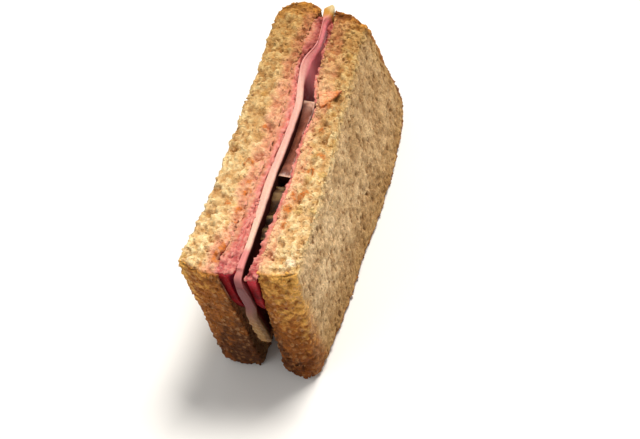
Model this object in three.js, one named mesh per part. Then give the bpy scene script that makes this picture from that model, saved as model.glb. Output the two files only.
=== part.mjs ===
// Half of a salami and cheese sandwich, cut straight across, as a THREE.Group of named meshes.
//
// It stands on its long crust edge with the cut face up. Millimetres; X runs through the layers, Y runs
// along the cut from the near end crust to the far one, and Z is up. From -X to +X the layers are a bread
// slice, a salami slice with a folded one beside it at the near end, a cheese slice, two pickle slices in
// the open pocket, a salami slice and the second bread slice. Every layer is a slab between two surfaces
// x = low(y, z) and x = high(y, z), stacked from the bread inwards, so that no two can meet.

import * as THREE from "three";

// ---- Driving dimensions -------------------------------------------------------------------------------

const CUT_HEIGHT = 57; // from the long crust edge up to the cut face
const LAYER_GAP = 0.3; // between neighbouring layers
const MIDDLE = { x: 1.02, y: 0.12 }; // middle of the footprint in the layers' own frame

// The layers are given at these stations along the cut, and run smoothly between them.
const STATIONS = [-57, -54, -40, -20, 0, 14, 24, 34, 41, 50, 58];

// Each bread slice: its two broad faces at the cut and at the long crust edge, with how they bend between
// the two; its end crusts, slanting in plan at the cut and bulging between the faces; its height.
const LEFT_BREAD = {
  outerAtCut: [-21.0, -20.6, -18.4, -17.4, -17.4, -17.5, -17.4, -17.4, -17.6, -17.9, -17.9],
  outerAtBase: [-18.3, -18.5, -18.5, -18.2, -18.0, -18.0, -18.0, -18.0, -18.0, -18.0, -18.0],
  outerBend: 0.8,
  innerAtCut: [-4.6, -6.2, -4.4, -3.2, -2.6, -2.9, -4.0, -4.6, -4.3, -3.7, -1.4],
  innerAtBase: [-3.0, -3.3, -3.2, -2.7, -2.3, -2.2, -2.4, -2.6, -2.8, -2.9, -2.4],
  innerBend: 0.8,
  near: { base: -57.6, cutLow: -52.8, cutHigh: -56.3, bulge: 0.6 },
  far: { base: 56.4, cutLow: 56.4, cutHigh: 56.2, bulge: 3.2 },
  height: { near: 58.4, far: 55.6 },
};
const RIGHT_BREAD = {
  outerAtCut: [20.8, 20.4, 20.0, 19.2, 17.9, 16.9, 16.3, 15.7, 15.2, 14.8, 14.0],
  outerAtBase: [16.9, 17.3, 19.0, 20.3, 21.3, 22.0, 22.5, 22.2, 21.7, 20.9, 20.0],
  outerBend: 1.15,
  innerAtCut: [7.0, 7.3, 7.7, 8.6, 8.0, 8.4, 5.6, 4.4, 4.2, 4.3, 2.6],
  innerAtBase: [5.3, 5.4, 6.1, 7.0, 7.4, 7.9, 8.0, 7.9, 7.6, 7.0, 5.6],
  innerBend: 3.0,
  near: { base: -59.2, cutLow: -52.9, cutHigh: -51.6, bulge: 1.0 },
  far: { base: 58.2, cutLow: 57.2, cutHigh: 53.4, bulge: 1.2 },
  height: { near: 57.6, far: 54.0 },
};
const BREAD_CORNERS = { nearBase: 2.8, farBase: 12, nearCut: 1.0, farCut: 1.2 }; // seen from the side
const CRUST_ROUND = 1.4; // rounding of the crust's long edges
const CUT_ROUND = 0.6; // rounding where the knife went through
const CRUST_WAVE = 0.45; // how far the crust wanders in and out
const FACE_WAVE = 0.3; // low swells on the outer faces

// Salami: thickness at the stations, and the squarish round outline of a slice below the cut.
const SALAMI_LEFT_THICKNESS = [2.4, 2.4, 2.3, 2.2, 2.3, 2.5, 1.7, 1.0, 2.6, 2.8, 0.2];
const SALAMI_RIGHT_THICKNESS = [2.5, 2.5, 2.0, 1.3, 1.5, 1.1, 1.4, 1.0, 1.3, 1.7, 0.4];
const SALAMI = { near: -55.5, far: 53.2, leftDepth: 44, rightDepth: 42, roundness: 3.2 };

// The room between the left salami and the cheese: the fold fills it at the near end only. It narrows to a
// waist just below the cut, and closes under the fold.
const FOLD_ROOM = [3.6, 3.6, 2.3, 0.2, 0, 0, 0, 0, 1.4, 0.5, 0];
const ROOM_SHAPE = { neck: 7, waist: 0.42, footTop: 16, foot: 23 };
const FOLD = { near: -55.2, far: -26, depthNear: 14.5, depthFar: 8, taper: 0.3 };

// Cheese: its lower edge hangs in the pocket; its near top corner is worn, its far one sticks out.
const CHEESE_THICKNESS = [3.1, 3.0, 2.4, 2.6, 2.6, 2.5, 2.4, 2.5, 1.6, 1.2, 2.2];
const CHEESE = { foot: 18, near: -57, nearAtCut: -53.6, far: 52.6, ear: 5.4 };

// Pickle slices fill the pocket's width. Each has a flattish top below the cut, with its own sag or ribs.
const PICKLES = {
  pickle_far: { y: 0.3, length: 31.5, top: 56.1, sag: 1.5, ribs: 0, tilt: 0.7, depth: 18 },
  pickle_near: { y: -28.2, length: 20.5, top: 54.6, sag: 0.6, ribs: 0.7, tilt: 1.2, depth: 16 },
};

// ---- Small helpers ------------------------------------------------------------------------------------

const clamp01 = (t) => Math.min(1, Math.max(0, t));
const smooth = (t) => clamp01(t) ** 2 * (3 - 2 * clamp01(t));
const mix = (a, b, t) => a + (b - a) * t;

/** A value given at the stations, run smoothly to y by a cubic through the four nearest ones. */
function along(values, y) {
  const last = STATIONS.length - 1;
  let k = 0;
  while (k < last - 1 && y > STATIONS[k + 1]) k++;
  const span = STATIONS[k + 1] - STATIONS[k];
  const t = clamp01((y - STATIONS[k]) / span);
  const slope = (i) => {
    const a = Math.max(0, i - 1);
    const b = Math.min(last, i + 1);
    return (values[b] - values[a]) / (STATIONS[b] - STATIONS[a]);
  };
  const rise = t * t * (3 - 2 * t);
  const bow = span * (slope(k) * t * (1 - t) ** 2 - slope(k + 1) * t * t * (1 - t));
  return mix(values[k], values[k + 1], rise) + bow;
}

/** Gentle unevenness between -1 and 1, the same every time. */
function swell(a, b) {
  return 0.55 * Math.sin(a / 6.1 + 1.7 * Math.sin(b / 8.3)) + 0.45 * Math.sin(b / 4.7 - a / 11.9);
}

/** Packs the lattice lines closer together towards both ends of 0 to 1. */
const crowded = (t, amount) => t - (amount * Math.sin(2 * Math.PI * t)) / (2 * Math.PI);

/** How far a face draws in at a distance from an edge that is rounded by a radius. */
function drawIn(distance, radius) {
  const short = Math.max(0, radius - distance);
  return radius - Math.sqrt(radius * radius - short * short);
}

// ---- The surfaces between the layers ------------------------------------------------------------------

/** A broad face of a bread slice, bent from its line at the base to its line at the cut. */
const breadFace = (bread, side) => (y, z) => {
  const atBase = along(bread[side + "AtBase"], y);
  return mix(atBase, along(bread[side + "AtCut"], y), clamp01(z / CUT_HEIGHT) ** bread[side + "Bend"]);
};

const leftInner = breadFace(LEFT_BREAD, "inner");
const rightInner = breadFace(RIGHT_BREAD, "inner");
const leftOuter = (y, z) => breadFace(LEFT_BREAD, "outer")(y, z) - FACE_WAVE * swell(y, z);
const rightOuter = (y, z) => breadFace(RIGHT_BREAD, "outer")(y, z) + FACE_WAVE * swell(z, y);

const salamiLeftLow = (y, z) => leftInner(y, z) + LAYER_GAP;
const salamiLeftHigh = (y, z) => salamiLeftLow(y, z) + along(SALAMI_LEFT_THICKNESS, y);

/** The room beside the left salami: a neck at the cut, a waist below it, and nothing under the fold. */
function foldRoom(y, z) {
  const { neck, waist, footTop, foot } = ROOM_SHAPE;
  const below = CUT_HEIGHT - z;
  const open = mix(1, waist, smooth(below / neck)) * (1 - smooth((below - footTop) / (foot - footTop)));
  return along(FOLD_ROOM, y) * open;
}

const cheeseLow = (y, z) => salamiLeftHigh(y, z) + LAYER_GAP + foldRoom(y, z);
const cheeseHigh = (y, z) => cheeseLow(y, z) + along(CHEESE_THICKNESS, y);

const salamiRightHigh = (y, z) => rightInner(y, z) - LAYER_GAP;
const salamiRightLow = (y, z) =>
  salamiRightHigh(y, z) - along(SALAMI_RIGHT_THICKNESS, y) * (1 - 0.4 * smooth((CUT_HEIGHT - z) / 25));

/** The folded salami fills its room at the cut, and thins out below. */
const foldLow = (y, z) => salamiLeftHigh(y, z) + LAYER_GAP / 2;
const foldHigh = (y, z) => {
  const thickness = foldRoom(y, z) - LAYER_GAP / 2;
  return foldLow(y, z) + thickness * (1 - FOLD.taper * smooth((CUT_HEIGHT - z) / FOLD.depthNear));
};

// ---- Outlines: where the point (u, v, t) of a slab lies in y and z ------------------------------------
// u runs from the near end to the far one, v from the foot up, and t from the low face to the high one.

/** The bread slice's outline: square near end, fuller far end, flat long crust edge. */
function breadOutline({ near, far, height }) {
  const halfLength = (far.base - near.base) / 2;
  const halfHeight = CUT_HEIGHT / 2;
  return (u, v, t) => {
    let y = (2 * u - 1) * halfLength;
    let z = (2 * v - 1) * halfHeight;
    const inside = Math.min(halfLength - Math.abs(y), z > 0 ? halfHeight : halfHeight + z);
    // Inside each corner's square, nested squares become nested circles.
    const radius = BREAD_CORNERS[(y > 0 ? "far" : "near") + (z > 0 ? "Cut" : "Base")];
    const dy = (Math.abs(y) - (halfLength - radius)) / radius;
    const dz = (Math.abs(z) - (halfHeight - radius)) / radius;
    if (dy > 0 && dz > 0) {
      const pull = Math.max(dy, dz) / Math.hypot(dy, dz);
      y = Math.sign(y) * (halfLength - radius + radius * dy * pull);
      z = Math.sign(z) * (halfHeight - radius + radius * dz * pull);
    }
    const across = (y / halfLength + 1) / 2;
    const up = (z / halfHeight + 1) / 2;
    const bulge = 1 - Math.abs(2 * t - 1) ** 2.5;
    const nearEnd = mix(near.base, mix(near.cutLow, near.cutHigh, t), up) - near.bulge * bulge;
    const farEnd = mix(far.base, mix(far.cutLow, far.cutHigh, t), up ** 1.6) + far.bulge * bulge;
    return {
      y: mix(nearEnd - CRUST_WAVE * swell(60 * up, 31), farEnd + CRUST_WAVE * swell(70 * up, -17), across),
      z: up * mix(height.near, height.far, across),
      inside,
      belowCut: (1 - v) * CUT_HEIGHT,
    };
  };
}

/** A salami slice's outline: flush with the cut, round below. */
function salamiOutline({ near, far }, depth) {
  return (u, v) => {
    const side = 0.985 * (2 * u - 1);
    const y = mix(SALAMI.near, SALAMI.far, (side + 1) / 2);
    const reach = (1 - Math.abs(side) ** SALAMI.roundness) ** (1 / SALAMI.roundness);
    return { y, z: mix(near, far, u) - 0.2 + 0.35 * swell(3 * y, 5) - (1 - v) * depth * reach };
  };
}

/** The fold's outline: a tongue that is deepest at the near end, where it is cut on the slant. */
function foldOutline(u, v, t) {
  const y = mix(FOLD.near + 2 * t, FOLD.far, u);
  const top = mix(LEFT_BREAD.height.near, LEFT_BREAD.height.far, (y + 54) / 108) - 0.3;
  return { y, z: top + 0.3 * swell(4 * y, 2) - (1 - v) * mix(FOLD.depthNear, FOLD.depthFar, smooth(u)) };
}

/** The cheese slice's outline: nearly square, with its far top corner sticking out as an ear. */
function cheeseOutline(u, v) {
  const ear = CHEESE.ear * smooth((v - 0.8) / 0.2) * smooth((u - 0.8) / 0.2);
  const near = mix(CHEESE.near, CHEESE.nearAtCut, smooth((v - 0.72) / 0.28)) + 0.5 * swell(20 * v, 3);
  const y = mix(near, CHEESE.far, u) + ear;
  const top = mix(57.8, 55.3, u) - 0.9 * Math.exp(-(((y - 34) / 7) ** 2)) + 0.3 * ear;
  return { y, z: mix(CHEESE.foot + 1.2 * swell(2 * y, 11), top, v) };
}

/** A pickle slice's outline: a disc lying on edge whose top was cut off almost level. */
const pickleOutline = (pickle) => (u, v, t) => {
  const side = 0.985 * (2 * u - 1);
  const y = pickle.y + side * (pickle.length / 2);
  const middle = 1 - side ** 2;
  const fall = pickle.sag * (1.35 - t) * middle + 5 * Math.max(0, Math.abs(side) - 0.86) ** 1.5;
  const top = pickle.top - fall + pickle.ribs * Math.cos(0.95 * (y + 30));
  const depth = pickle.depth * Math.sqrt(middle) + 1;
  return { y, z: top + pickle.tilt * (t - 0.5) - (1 - v) * depth };
};

// ---- Solids -------------------------------------------------------------------------------------------

/**
 * A slab: a box whose lattice is moved so that its two broad faces follow low and high over an outline.
 * The counts are its cells along Y, along Z and through its thickness.
 */
function slab([columns, rows, through], outline, low, high, edgeRound = () => 0) {
  const geometry = new THREE.BoxGeometry(1, 1, 1, through, columns, rows);
  const point = geometry.getAttribute("position");
  for (let i = 0; i < point.count; i++) {
    const t = point.getX(i) + 0.5;
    const place = outline(crowded(point.getY(i) + 0.5, 0.65), crowded(point.getZ(i) + 0.5, 0.8), t);
    const draw = edgeRound(place);
    const x = mix(low(place.y, place.z) + draw, high(place.y, place.z) - draw, t);
    point.setXYZ(i, x - MIDDLE.x, place.y - MIDDLE.y, place.z);
  }
  geometry.computeVertexNormals();
  return geometry;
}

/** A bread slice between its two faces, with softened crust edges and a crisp cut. */
function breadSlice(bread, low, high) {
  const edgeRound = ({ inside, belowCut }) => drawIn(inside, CRUST_ROUND) + drawIn(belowCut, CUT_ROUND);
  return slab([28, 14, 4], breadOutline(bread), low, high, edgeRound);
}

function salamiSlice(bread, depth, low, high) {
  return slab([22, 7, 1], salamiOutline(bread.height, depth), low, high);
}

function pickleSlice(pickle) {
  const low = (y, z) => cheeseHigh(y, z) + LAYER_GAP;
  const high = (y, z) => salamiRightLow(y, z) - LAYER_GAP;
  return slab([14, 6, 2], pickleOutline(pickle), low, high);
}

const BREAD_LOOK = { color: 0xd9bd85, roughness: 0.9 };
const SALAMI_LOOK = { color: 0xc8504f, roughness: 0.5 };
const CHEESE_LOOK = { color: 0xf0cfae, roughness: 0.45 };
const PICKLE_LOOK = { color: 0x7d6a48, roughness: 0.3 };

const layers = [
  ["bread_left", BREAD_LOOK, breadSlice(LEFT_BREAD, leftOuter, leftInner)],
  ["salami_left", SALAMI_LOOK, salamiSlice(LEFT_BREAD, SALAMI.leftDepth, salamiLeftLow, salamiLeftHigh)],
  ["salami_fold", SALAMI_LOOK, slab([10, 6, 1], foldOutline, foldLow, foldHigh)],
  ["cheese", CHEESE_LOOK, slab([26, 10, 1], cheeseOutline, cheeseLow, cheeseHigh)],
  ["pickle_far", PICKLE_LOOK, pickleSlice(PICKLES.pickle_far)],
  ["pickle_near", PICKLE_LOOK, pickleSlice(PICKLES.pickle_near)],
  ["salami_right", SALAMI_LOOK, salamiSlice(RIGHT_BREAD, SALAMI.rightDepth, salamiRightLow, salamiRightHigh)],
  ["bread_right", BREAD_LOOK, breadSlice(RIGHT_BREAD, rightInner, rightOuter)],
];

const sandwich = new THREE.Group();
for (const [name, look, geometry] of layers) {
  const mesh = new THREE.Mesh(geometry, new THREE.MeshStandardMaterial({ ...look, metalness: 0 }));
  mesh.name = name;
  sandwich.add(mesh);
}

export default sandwich;
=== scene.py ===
"""The looks of half a salami and cheese sandwich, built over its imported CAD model.

The half stands on its long crust edge with the cut face up. Lengths in the classes are millimetres in the
layers' own frame, where X runs through the layers, Y along the cut and Z up. A skin is moved to the CAD
model's frame, in metres, when it becomes an object.
"""

import logging
import math
from dataclasses import dataclass
from enum import Enum
from itertools import product
from typing import Callable, Iterator

import bpy
import numpy as np
from mathutils import Matrix, Vector


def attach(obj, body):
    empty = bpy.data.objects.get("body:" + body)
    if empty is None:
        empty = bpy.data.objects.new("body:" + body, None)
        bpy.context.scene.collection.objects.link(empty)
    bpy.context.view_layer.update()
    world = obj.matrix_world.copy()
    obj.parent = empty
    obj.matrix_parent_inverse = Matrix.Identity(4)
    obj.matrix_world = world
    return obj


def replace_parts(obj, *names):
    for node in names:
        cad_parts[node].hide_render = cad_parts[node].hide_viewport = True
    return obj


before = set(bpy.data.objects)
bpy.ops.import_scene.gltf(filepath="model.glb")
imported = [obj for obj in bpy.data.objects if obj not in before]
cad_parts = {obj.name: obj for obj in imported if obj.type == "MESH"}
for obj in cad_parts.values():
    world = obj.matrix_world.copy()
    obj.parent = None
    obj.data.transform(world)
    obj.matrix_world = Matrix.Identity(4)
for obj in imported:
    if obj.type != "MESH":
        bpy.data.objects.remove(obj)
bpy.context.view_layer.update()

log = logging.getLogger("sandwich")

Array = np.ndarray
Surface = Callable[[Array, Array], Array]
Colour = tuple[float, float, float, float]
Triple = tuple[float, float, float]
Value = bpy.types.NodeSocket | float | tuple[float, ...]  # what a node's input takes

MILLIMETRE = 0.001
MIDDLE = np.array([1.02, 0.12, 0.0])  # middle of the footprint in the layers' own frame
CUT_HEIGHT = 57.0  # from the long crust edge up to the cut face
LAYER_GAP = 0.3  # between neighbouring layers
SLICE_THICKNESS = 14.0  # usual thickness of a bread slice, which turns a share through it into a distance
DISC_SHARE = 0.985  # share of a disc's length that is built, so that its ends keep some height
STATIONS = np.array([-57, -54, -40, -20, 0, 14, 24, 34, 41, 50, 58], dtype=float)
MIXERS = (374761393, 668265263, 2246822519, 3266489917)  # odd factors that spread a cell's bits
LOW_32, LOW_24 = np.uint64(2**32 - 1), np.uint64(2**24 - 1)


class Slot(Enum):
    """The record's material slots."""

    BREAD = "bread"
    SALAMI = "salami"
    CHEESE = "cheese"
    PICKLE = "pickle"


class Side(Enum):
    """Which outer slice a bread slice is, seen along the cut."""

    LEFT = -1
    RIGHT = 1


# ---- Small helpers ------------------------------------------------------------------------------------


def tone(red: int, green: int, blue: int) -> Colour:
    """Turns a display colour with channels 0 to 255 into linear light.

    Args:
        red: red channel.
        green: green channel.
        blue: blue channel.

    Returns:
        The linear colour with an opaque fourth channel.
    """
    parts = [c / 255 for c in (red, green, blue)]
    linear = [c / 12.92 if c <= 0.04045 else ((c + 0.055) / 1.055) ** 2.4 for c in parts]
    return (linear[0], linear[1], linear[2], 1.0)


def step(value: Array, start: float, end: float) -> Array:
    """Rises smoothly from 0 at start to 1 at end: 3t squared less 2t cubed of the clipped fraction.

    Args:
        value: numbers to place between start and end.
        start: where the step begins.
        end: where the step is done.

    Returns:
        The step's height at each value.
    """
    t = np.clip((value - start) / (end - start), 0, 1)
    return t * t * (3 - 2 * t)


def mix(first: Array, second: Array, share: Array) -> Array:
    """Goes straight from first to second as share goes from 0 to 1."""
    return first + (second - first) * share


def along(values: tuple[float, ...], y: Array) -> Array:
    """Runs a value given at the stations smoothly to y, by a cubic through the four nearest stations.

    Args:
        values: one value for each station.
        y: places along the cut.

    Returns:
        The value at each place. Between two stations it is the cubic that has, at each of them, the
        slope of the line between that station's neighbours.
    """
    given = np.array(values, dtype=float)
    last = len(STATIONS) - 1
    k = np.clip(np.searchsorted(STATIONS, y) - 1, 0, last - 1)
    index = np.arange(last + 1)
    before, after = np.maximum(index - 1, 0), np.minimum(index + 1, last)
    slope = (given[after] - given[before]) / (STATIONS[after] - STATIONS[before])
    span = STATIONS[k + 1] - STATIONS[k]
    t = np.clip((y - STATIONS[k]) / span, 0, 1)
    bow = span * (slope[k] * t * (1 - t) ** 2 - slope[k + 1] * t * t * (1 - t))
    return mix(given[k], given[k + 1], t * t * (3 - 2 * t)) + bow


def swell(a: Array, b: Array) -> Array:
    """Gentle unevenness between -1 and 1: two sines, one of them bent by a third."""
    return 0.55 * np.sin(a / 6.1 + 1.7 * np.sin(b / 8.3)) + 0.45 * np.sin(b / 4.7 - a / 11.9)


def crowded(t: Array, amount: float) -> Array:
    """Packs lattice lines closer towards both ends of 0 to 1, by taking off a full sine wave."""
    return t - amount * np.sin(2 * np.pi * t) / (2 * np.pi)


def draw_in(distance: Array, radius: float | Array) -> Array:
    """How far a face draws in at a distance from an edge that is rounded by a radius: a quarter circle."""
    short = np.clip(radius - distance, 0, radius)
    return radius - np.sqrt(radius * radius - short * short)


def stroke(points: Array, line: tuple[tuple[float, float], ...]) -> Array:
    """Distance in plan from each point to a broken line, as the least of those to its straight parts.

    Args:
        points: points in millimetres.
        line: the broken line's corners in x and y.

    Returns:
        The distance of each point.
    """
    nearest = np.full(len(points), 1e9)
    for start, end in zip(line[:-1], line[1:]):
        a, b = np.array(start), np.array(end)
        share = np.clip((points[:, :2] - a) @ (b - a) / np.dot(b - a, b - a), 0, 1)
        nearest = np.minimum(nearest, np.linalg.norm(points[:, :2] - a - share[:, None] * (b - a), axis=1))
    return nearest


@dataclass(frozen=True)
class Noise:
    """Repeatable unevenness as a function of position, so that it runs on over a piece's edges."""

    seed: int

    def dice(self, cells: Array, salt: int) -> Array:
        """Gives each whole-number cell its own number from 0 to 1, by multiplying and folding its bits.

        Args:
            cells: cell corners, one row each.
            salt: picks one of many independent numbers for the same cell.

        Returns:
            One number for each row.
        """
        first, second, third, fourth = MIXERS
        c = cells.astype(np.int64).astype(np.uint64)
        start = np.uint64(((self.seed * 1013 + salt) * fourth) % 2**32)
        bits = c[:, 0] * np.uint64(first) + c[:, 1] * np.uint64(second)
        bits = (bits + c[:, 2] * np.uint64(third) + start) & LOW_32
        for fold, factor in ((15, third), (13, fourth)):
            bits = ((bits ^ (bits >> np.uint64(fold))) * np.uint64(factor)) & LOW_32
        return ((bits ^ (bits >> np.uint64(16))) & LOW_24) / 2.0**24

    def smooth(self, points: Array, size: float | Array) -> Array:
        """Blends the dice of each point's eight cell corners by their smoothed nearness.

        Args:
            points: points in millimetres.
            size: cell size, one number or one for each axis.

        Returns:
            Values from -1 to 1.
        """
        place = points / size
        corner = np.floor(place)
        near = step(place - corner, 0, 1)
        total = np.zeros(len(points))
        for offset in product((0, 1), repeat=3):
            share = np.prod(np.where(np.array(offset) == 1, near, 1 - near), axis=1)
            total += share * self.dice(corner + np.array(offset), 0)
        return 2 * total - 1

    def rough(self, points: Array, size: float | Array, layers: int = 3) -> Array:
        """Adds layers of smooth noise, each with half the size and half the height of the last."""
        total = sum(self.smooth(points + 31.7 * i, np.array(size) / 2**i) / 2**i for i in range(layers))
        return total / (2 - 2 ** (1 - layers))

    def warp(self, points: Array, size: float, amount: float) -> Array:
        """Shifts points by rough noise along each axis, so that later patterns wander and tear."""
        shift = [self.rough(points + offset, size) for offset in (11.3, 47.9, 83.1)]
        return points + amount * np.stack(shift, axis=1)

    def lumps(self, points: Array, size: float | Array) -> Array:
        """Packed round lumps: 1 less the distance to the nearest of one random seat in each cell.

        Args:
            points: points in millimetres.
            size: spacing of the lumps, one number or one for each axis.

        Returns:
            Values from about 0 in the creases to 1 on the lumps' crowns.
        """
        place = points / size
        nearest = np.full(len(points), 9.0)
        for distance, _ in self._seats(place):
            nearest = np.minimum(nearest, distance)
        return np.clip(1 - nearest, 0, 1)

    def pits(self, points: Array, size: float | Array, chance: float, radius: float) -> Array:
        """Scattered hollows: in some cells a bowl, 1 less the square of distance over its own radius.

        Args:
            points: points in millimetres.
            size: spacing of the cells, one number or one for each axis.
            chance: share of the cells that hold a hollow.
            radius: usual radius in cells.

        Returns:
            Values from 0 outside to 1 at a hollow's deepest.
        """
        deepest = np.zeros(len(points))
        for distance, cell in self._seats(points / size):
            reach = radius * (0.55 + 0.9 * self.dice(cell, 5))
            bowl = np.clip(1 - (distance / reach) ** 2, 0, 1) * (self.dice(cell, 6) < chance)
            deepest = np.maximum(deepest, bowl)
        return deepest

    def _seats(self, place: Array) -> Iterator[tuple[Array, Array]]:
        """Goes through the random seats of the 27 cells about each place.

        Args:
            place: points in cells.

        Returns:
            For each neighbour in turn, the distances to its seats, and the cells.
        """
        corner = np.floor(place)
        for offset in product((-1, 0, 1), repeat=3):
            cell = corner + np.array(offset)
            seat = cell + np.stack([self.dice(cell, salt) for salt in (1, 2, 3)], axis=1)
            yield np.linalg.norm(place - seat, axis=1), cell


# ---- Skins: closed surfaces under work ----------------------------------------------------------------


class Skin:
    """A closed surface: points, four-sided faces, and named marks on its points for the materials."""

    def __init__(self, points: Array, quads: Array) -> None:
        """Starts a surface with no marks.

        Args:
            points: points in millimetres, one row each.
            quads: four point numbers for each face, in the order that makes it point outwards.
        """
        self.points = points
        self.quads = quads
        self.marks: dict[str, Array] = {}

    def normals(self) -> Array:
        """Works out each point's outward direction.

        Returns:
            Unit vectors: the faces' diagonal cross products, added up at their corners.
        """
        a, b, c, d = (self.points[self.quads[:, i]] for i in range(4))
        across = np.cross(c - a, d - b)
        total = np.zeros_like(self.points)
        for corner, axis in product(range(4), range(3)):
            weights = across[:, axis]
            total[:, axis] += np.bincount(self.quads[:, corner], weights, minlength=len(self.points))
        return total / np.maximum(np.linalg.norm(total, axis=1, keepdims=True), 1e-12)

    def push(self, heights: Array) -> None:
        """Moves each point along its outward direction by its height."""
        self.points = self.points + self.normals() * heights[:, None]

    def to_object(self, name: str, material: bpy.types.Material, slot: Slot) -> bpy.types.Object:
        """Makes the Blender object, in metres in the CAD model's frame, riding on the whole.

        Args:
            name: the piece's name.
            material: its finish.
            slot: not used.

        Returns:
            The new object, at the origin, with its place in its mesh.
        """
        mesh = bpy.data.meshes.new(name)
        mesh.vertices.add(len(self.points))
        place = (self.points - MIDDLE) * MILLIMETRE
        mesh.vertices.foreach_set("co", place.astype(np.float32).ravel())
        mesh.loops.add(self.quads.size)
        mesh.loops.foreach_set("vertex_index", self.quads.astype(np.int32).ravel())
        mesh.polygons.add(len(self.quads))
        mesh.polygons.foreach_set("loop_start", np.arange(0, self.quads.size, 4, dtype=np.int32))
        mesh.polygons.foreach_set("use_smooth", np.ones(len(self.quads), dtype=bool))
        mesh.update(calc_edges=True)
        for mark, values in self.marks.items():
            layer = mesh.attributes.new(mark, "FLOAT", "POINT")
            layer.data.foreach_set("value", values.astype(np.float32))
        mesh.materials.append(material)
        piece = bpy.data.objects.new(name, mesh)
        bpy.context.scene.collection.objects.link(piece)
        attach(piece, "root")
        log.info("%s: %d faces", name, len(self.quads))
        return piece


@dataclass(frozen=True)
class Lattice:
    """The six faces of a box, cut into cells, whose lines are shared at the box's edges."""

    columns: int  # cells along Y
    rows: int  # cells along Z
    through: int  # cells along X
    crowding: float = 0.3  # how much closer the lines lie near the edges

    def build(self) -> tuple[Array, Array]:
        """Lays the lattice out.

        Each face is a whole grid of index triples. Triples that meet at an edge share one number, so
        the surface is closed.

        Returns:
            Points as (t, u, v) from 0 to 1, through, along and up, and the faces, pointing outwards.
        """
        counts = (self.through, self.columns, self.rows)
        keys = []
        for axis, end in product(range(3), (0, 1)):
            b, c = (axis + 1) % 3, (axis + 2) % 3
            first, second = np.meshgrid(np.arange(counts[b] + 1), np.arange(counts[c] + 1), indexing="ij")
            triple = [np.zeros_like(first)] * 3
            triple[axis], triple[b], triple[c] = np.full_like(first, end * counts[axis]), first, second
            key = (triple[0] * (counts[1] + 1) + triple[1]) * (counts[2] + 1) + triple[2]
            corners = [key[:-1, :-1], key[1:, :-1], key[1:, 1:], key[:-1, 1:]]
            keys.append(np.stack(corners if end else corners[::-1], axis=-1).reshape(-1, 4))
        unique, quads = np.unique(np.concatenate(keys), return_inverse=True)
        v = unique % (counts[2] + 1)
        u = unique // (counts[2] + 1) % (counts[1] + 1)
        t = unique // ((counts[2] + 1) * (counts[1] + 1))
        spots = np.stack([t, u, v], axis=1) / np.array(counts)
        return crowded(spots, self.crowding), quads.reshape(-1, 4)


@dataclass(frozen=True)
class Swarm:
    """Many small lumps of a low, round form, joined into one skin."""

    seed: int

    def scatter(self, skin: Skin, seats: Array, sizes: tuple[float, float], flat: float, sink: float) -> Skin:
        """Sets a lump on each of some points of a skin.

        A lump is a ball of 24 faces whose points are drawn in and out at random. It is flattened, turned
        at random, and pressed into the surface by a share of its size. It carries its seat's marks.

        Args:
            skin: the skin that the lumps sit on.
            seats: which of its points to use.
            sizes: smallest and largest radius.
            flat: thickness as a share of the radius.
            sink: depth of the lump's middle below the surface, as a share of the radius.

        Returns:
            The lumps as one skin.
        """
        rng = np.random.default_rng(self.seed)
        ball, quads = Lattice(2, 2, 2, 0.0).build()
        ball = (ball - 0.5) / np.linalg.norm(ball - 0.5, axis=1, keepdims=True)
        count = len(seats)
        radius = rng.uniform(*sizes, count) * rng.uniform(0.7, 1.0, count)
        axes = np.linalg.qr(rng.normal(size=(count, 3, 3)))[0]
        axes[:, :, 2] *= np.sign(np.linalg.det(axes))[:, None]
        stretch = np.stack([np.ones(count), rng.uniform(0.55, 1, count), np.full(count, flat)], axis=1)
        shape = ball[None] * (1 + 0.35 * rng.uniform(-1, 1, (count, len(ball), 1))) * stretch[:, None]
        turned = np.einsum("nij,nkj->nki", axes, shape) * radius[:, None, None]
        middle = skin.points[seats] - skin.normals()[seats] * (sink * radius)[:, None]
        points = (turned + middle[:, None]).reshape(-1, 3)
        points[:, 2] = np.maximum(points[:, 2], 0)
        swarm = Skin(points, (quads[None] + (np.arange(count) * len(ball))[:, None, None]).reshape(-1, 4))
        swarm.marks = {name: np.repeat(values[seats], len(ball)) for name, values in skin.marks.items()}
        return swarm


# ---- The surfaces between the layers ------------------------------------------------------------------


@dataclass(frozen=True)
class BroadFace:
    """A broad face of a bread slice, bent from its line at the base to its line at the cut."""

    at_cut: tuple[float, ...]
    at_base: tuple[float, ...]
    bend: float
    wave: float = 0.0

    def x(self, y: Array, z: Array) -> Array:
        """Where the face is: base line to cut line by height to the power of the bend, plus the wave.

        Args:
            y: places along the cut.
            z: heights.

        Returns:
            The face's place through the layers.
        """
        rise = np.clip(z / CUT_HEIGHT, 0, 1) ** self.bend
        turned = swell(y, z) if self.wave < 0 else swell(z, y)
        return mix(along(self.at_base, y), along(self.at_cut, y), rise) + self.wave * turned


LEFT_OUTER = BroadFace(
    at_cut=(-21.0, -20.6, -18.4, -17.4, -17.4, -17.5, -17.4, -17.4, -17.6, -17.9, -17.9),
    at_base=(-18.3, -18.5, -18.5, -18.2, -18.0, -18.0, -18.0, -18.0, -18.0, -18.0, -18.0),
    bend=0.8,
    wave=-0.3,
)
LEFT_INNER = BroadFace(
    at_cut=(-4.6, -6.2, -4.4, -3.2, -2.6, -2.9, -4.0, -4.6, -4.3, -3.7, -1.4),
    at_base=(-3.0, -3.3, -3.2, -2.7, -2.3, -2.2, -2.4, -2.6, -2.8, -2.9, -2.4),
    bend=0.8,
)
RIGHT_INNER = BroadFace(
    at_cut=(7.0, 7.3, 7.7, 8.6, 8.0, 8.4, 5.6, 4.2, 3.8, 3.9, 1.9),
    at_base=(5.3, 5.4, 6.1, 7.0, 7.4, 7.9, 8.0, 7.9, 7.6, 7.0, 5.6),
    bend=3.0,
)
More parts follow.
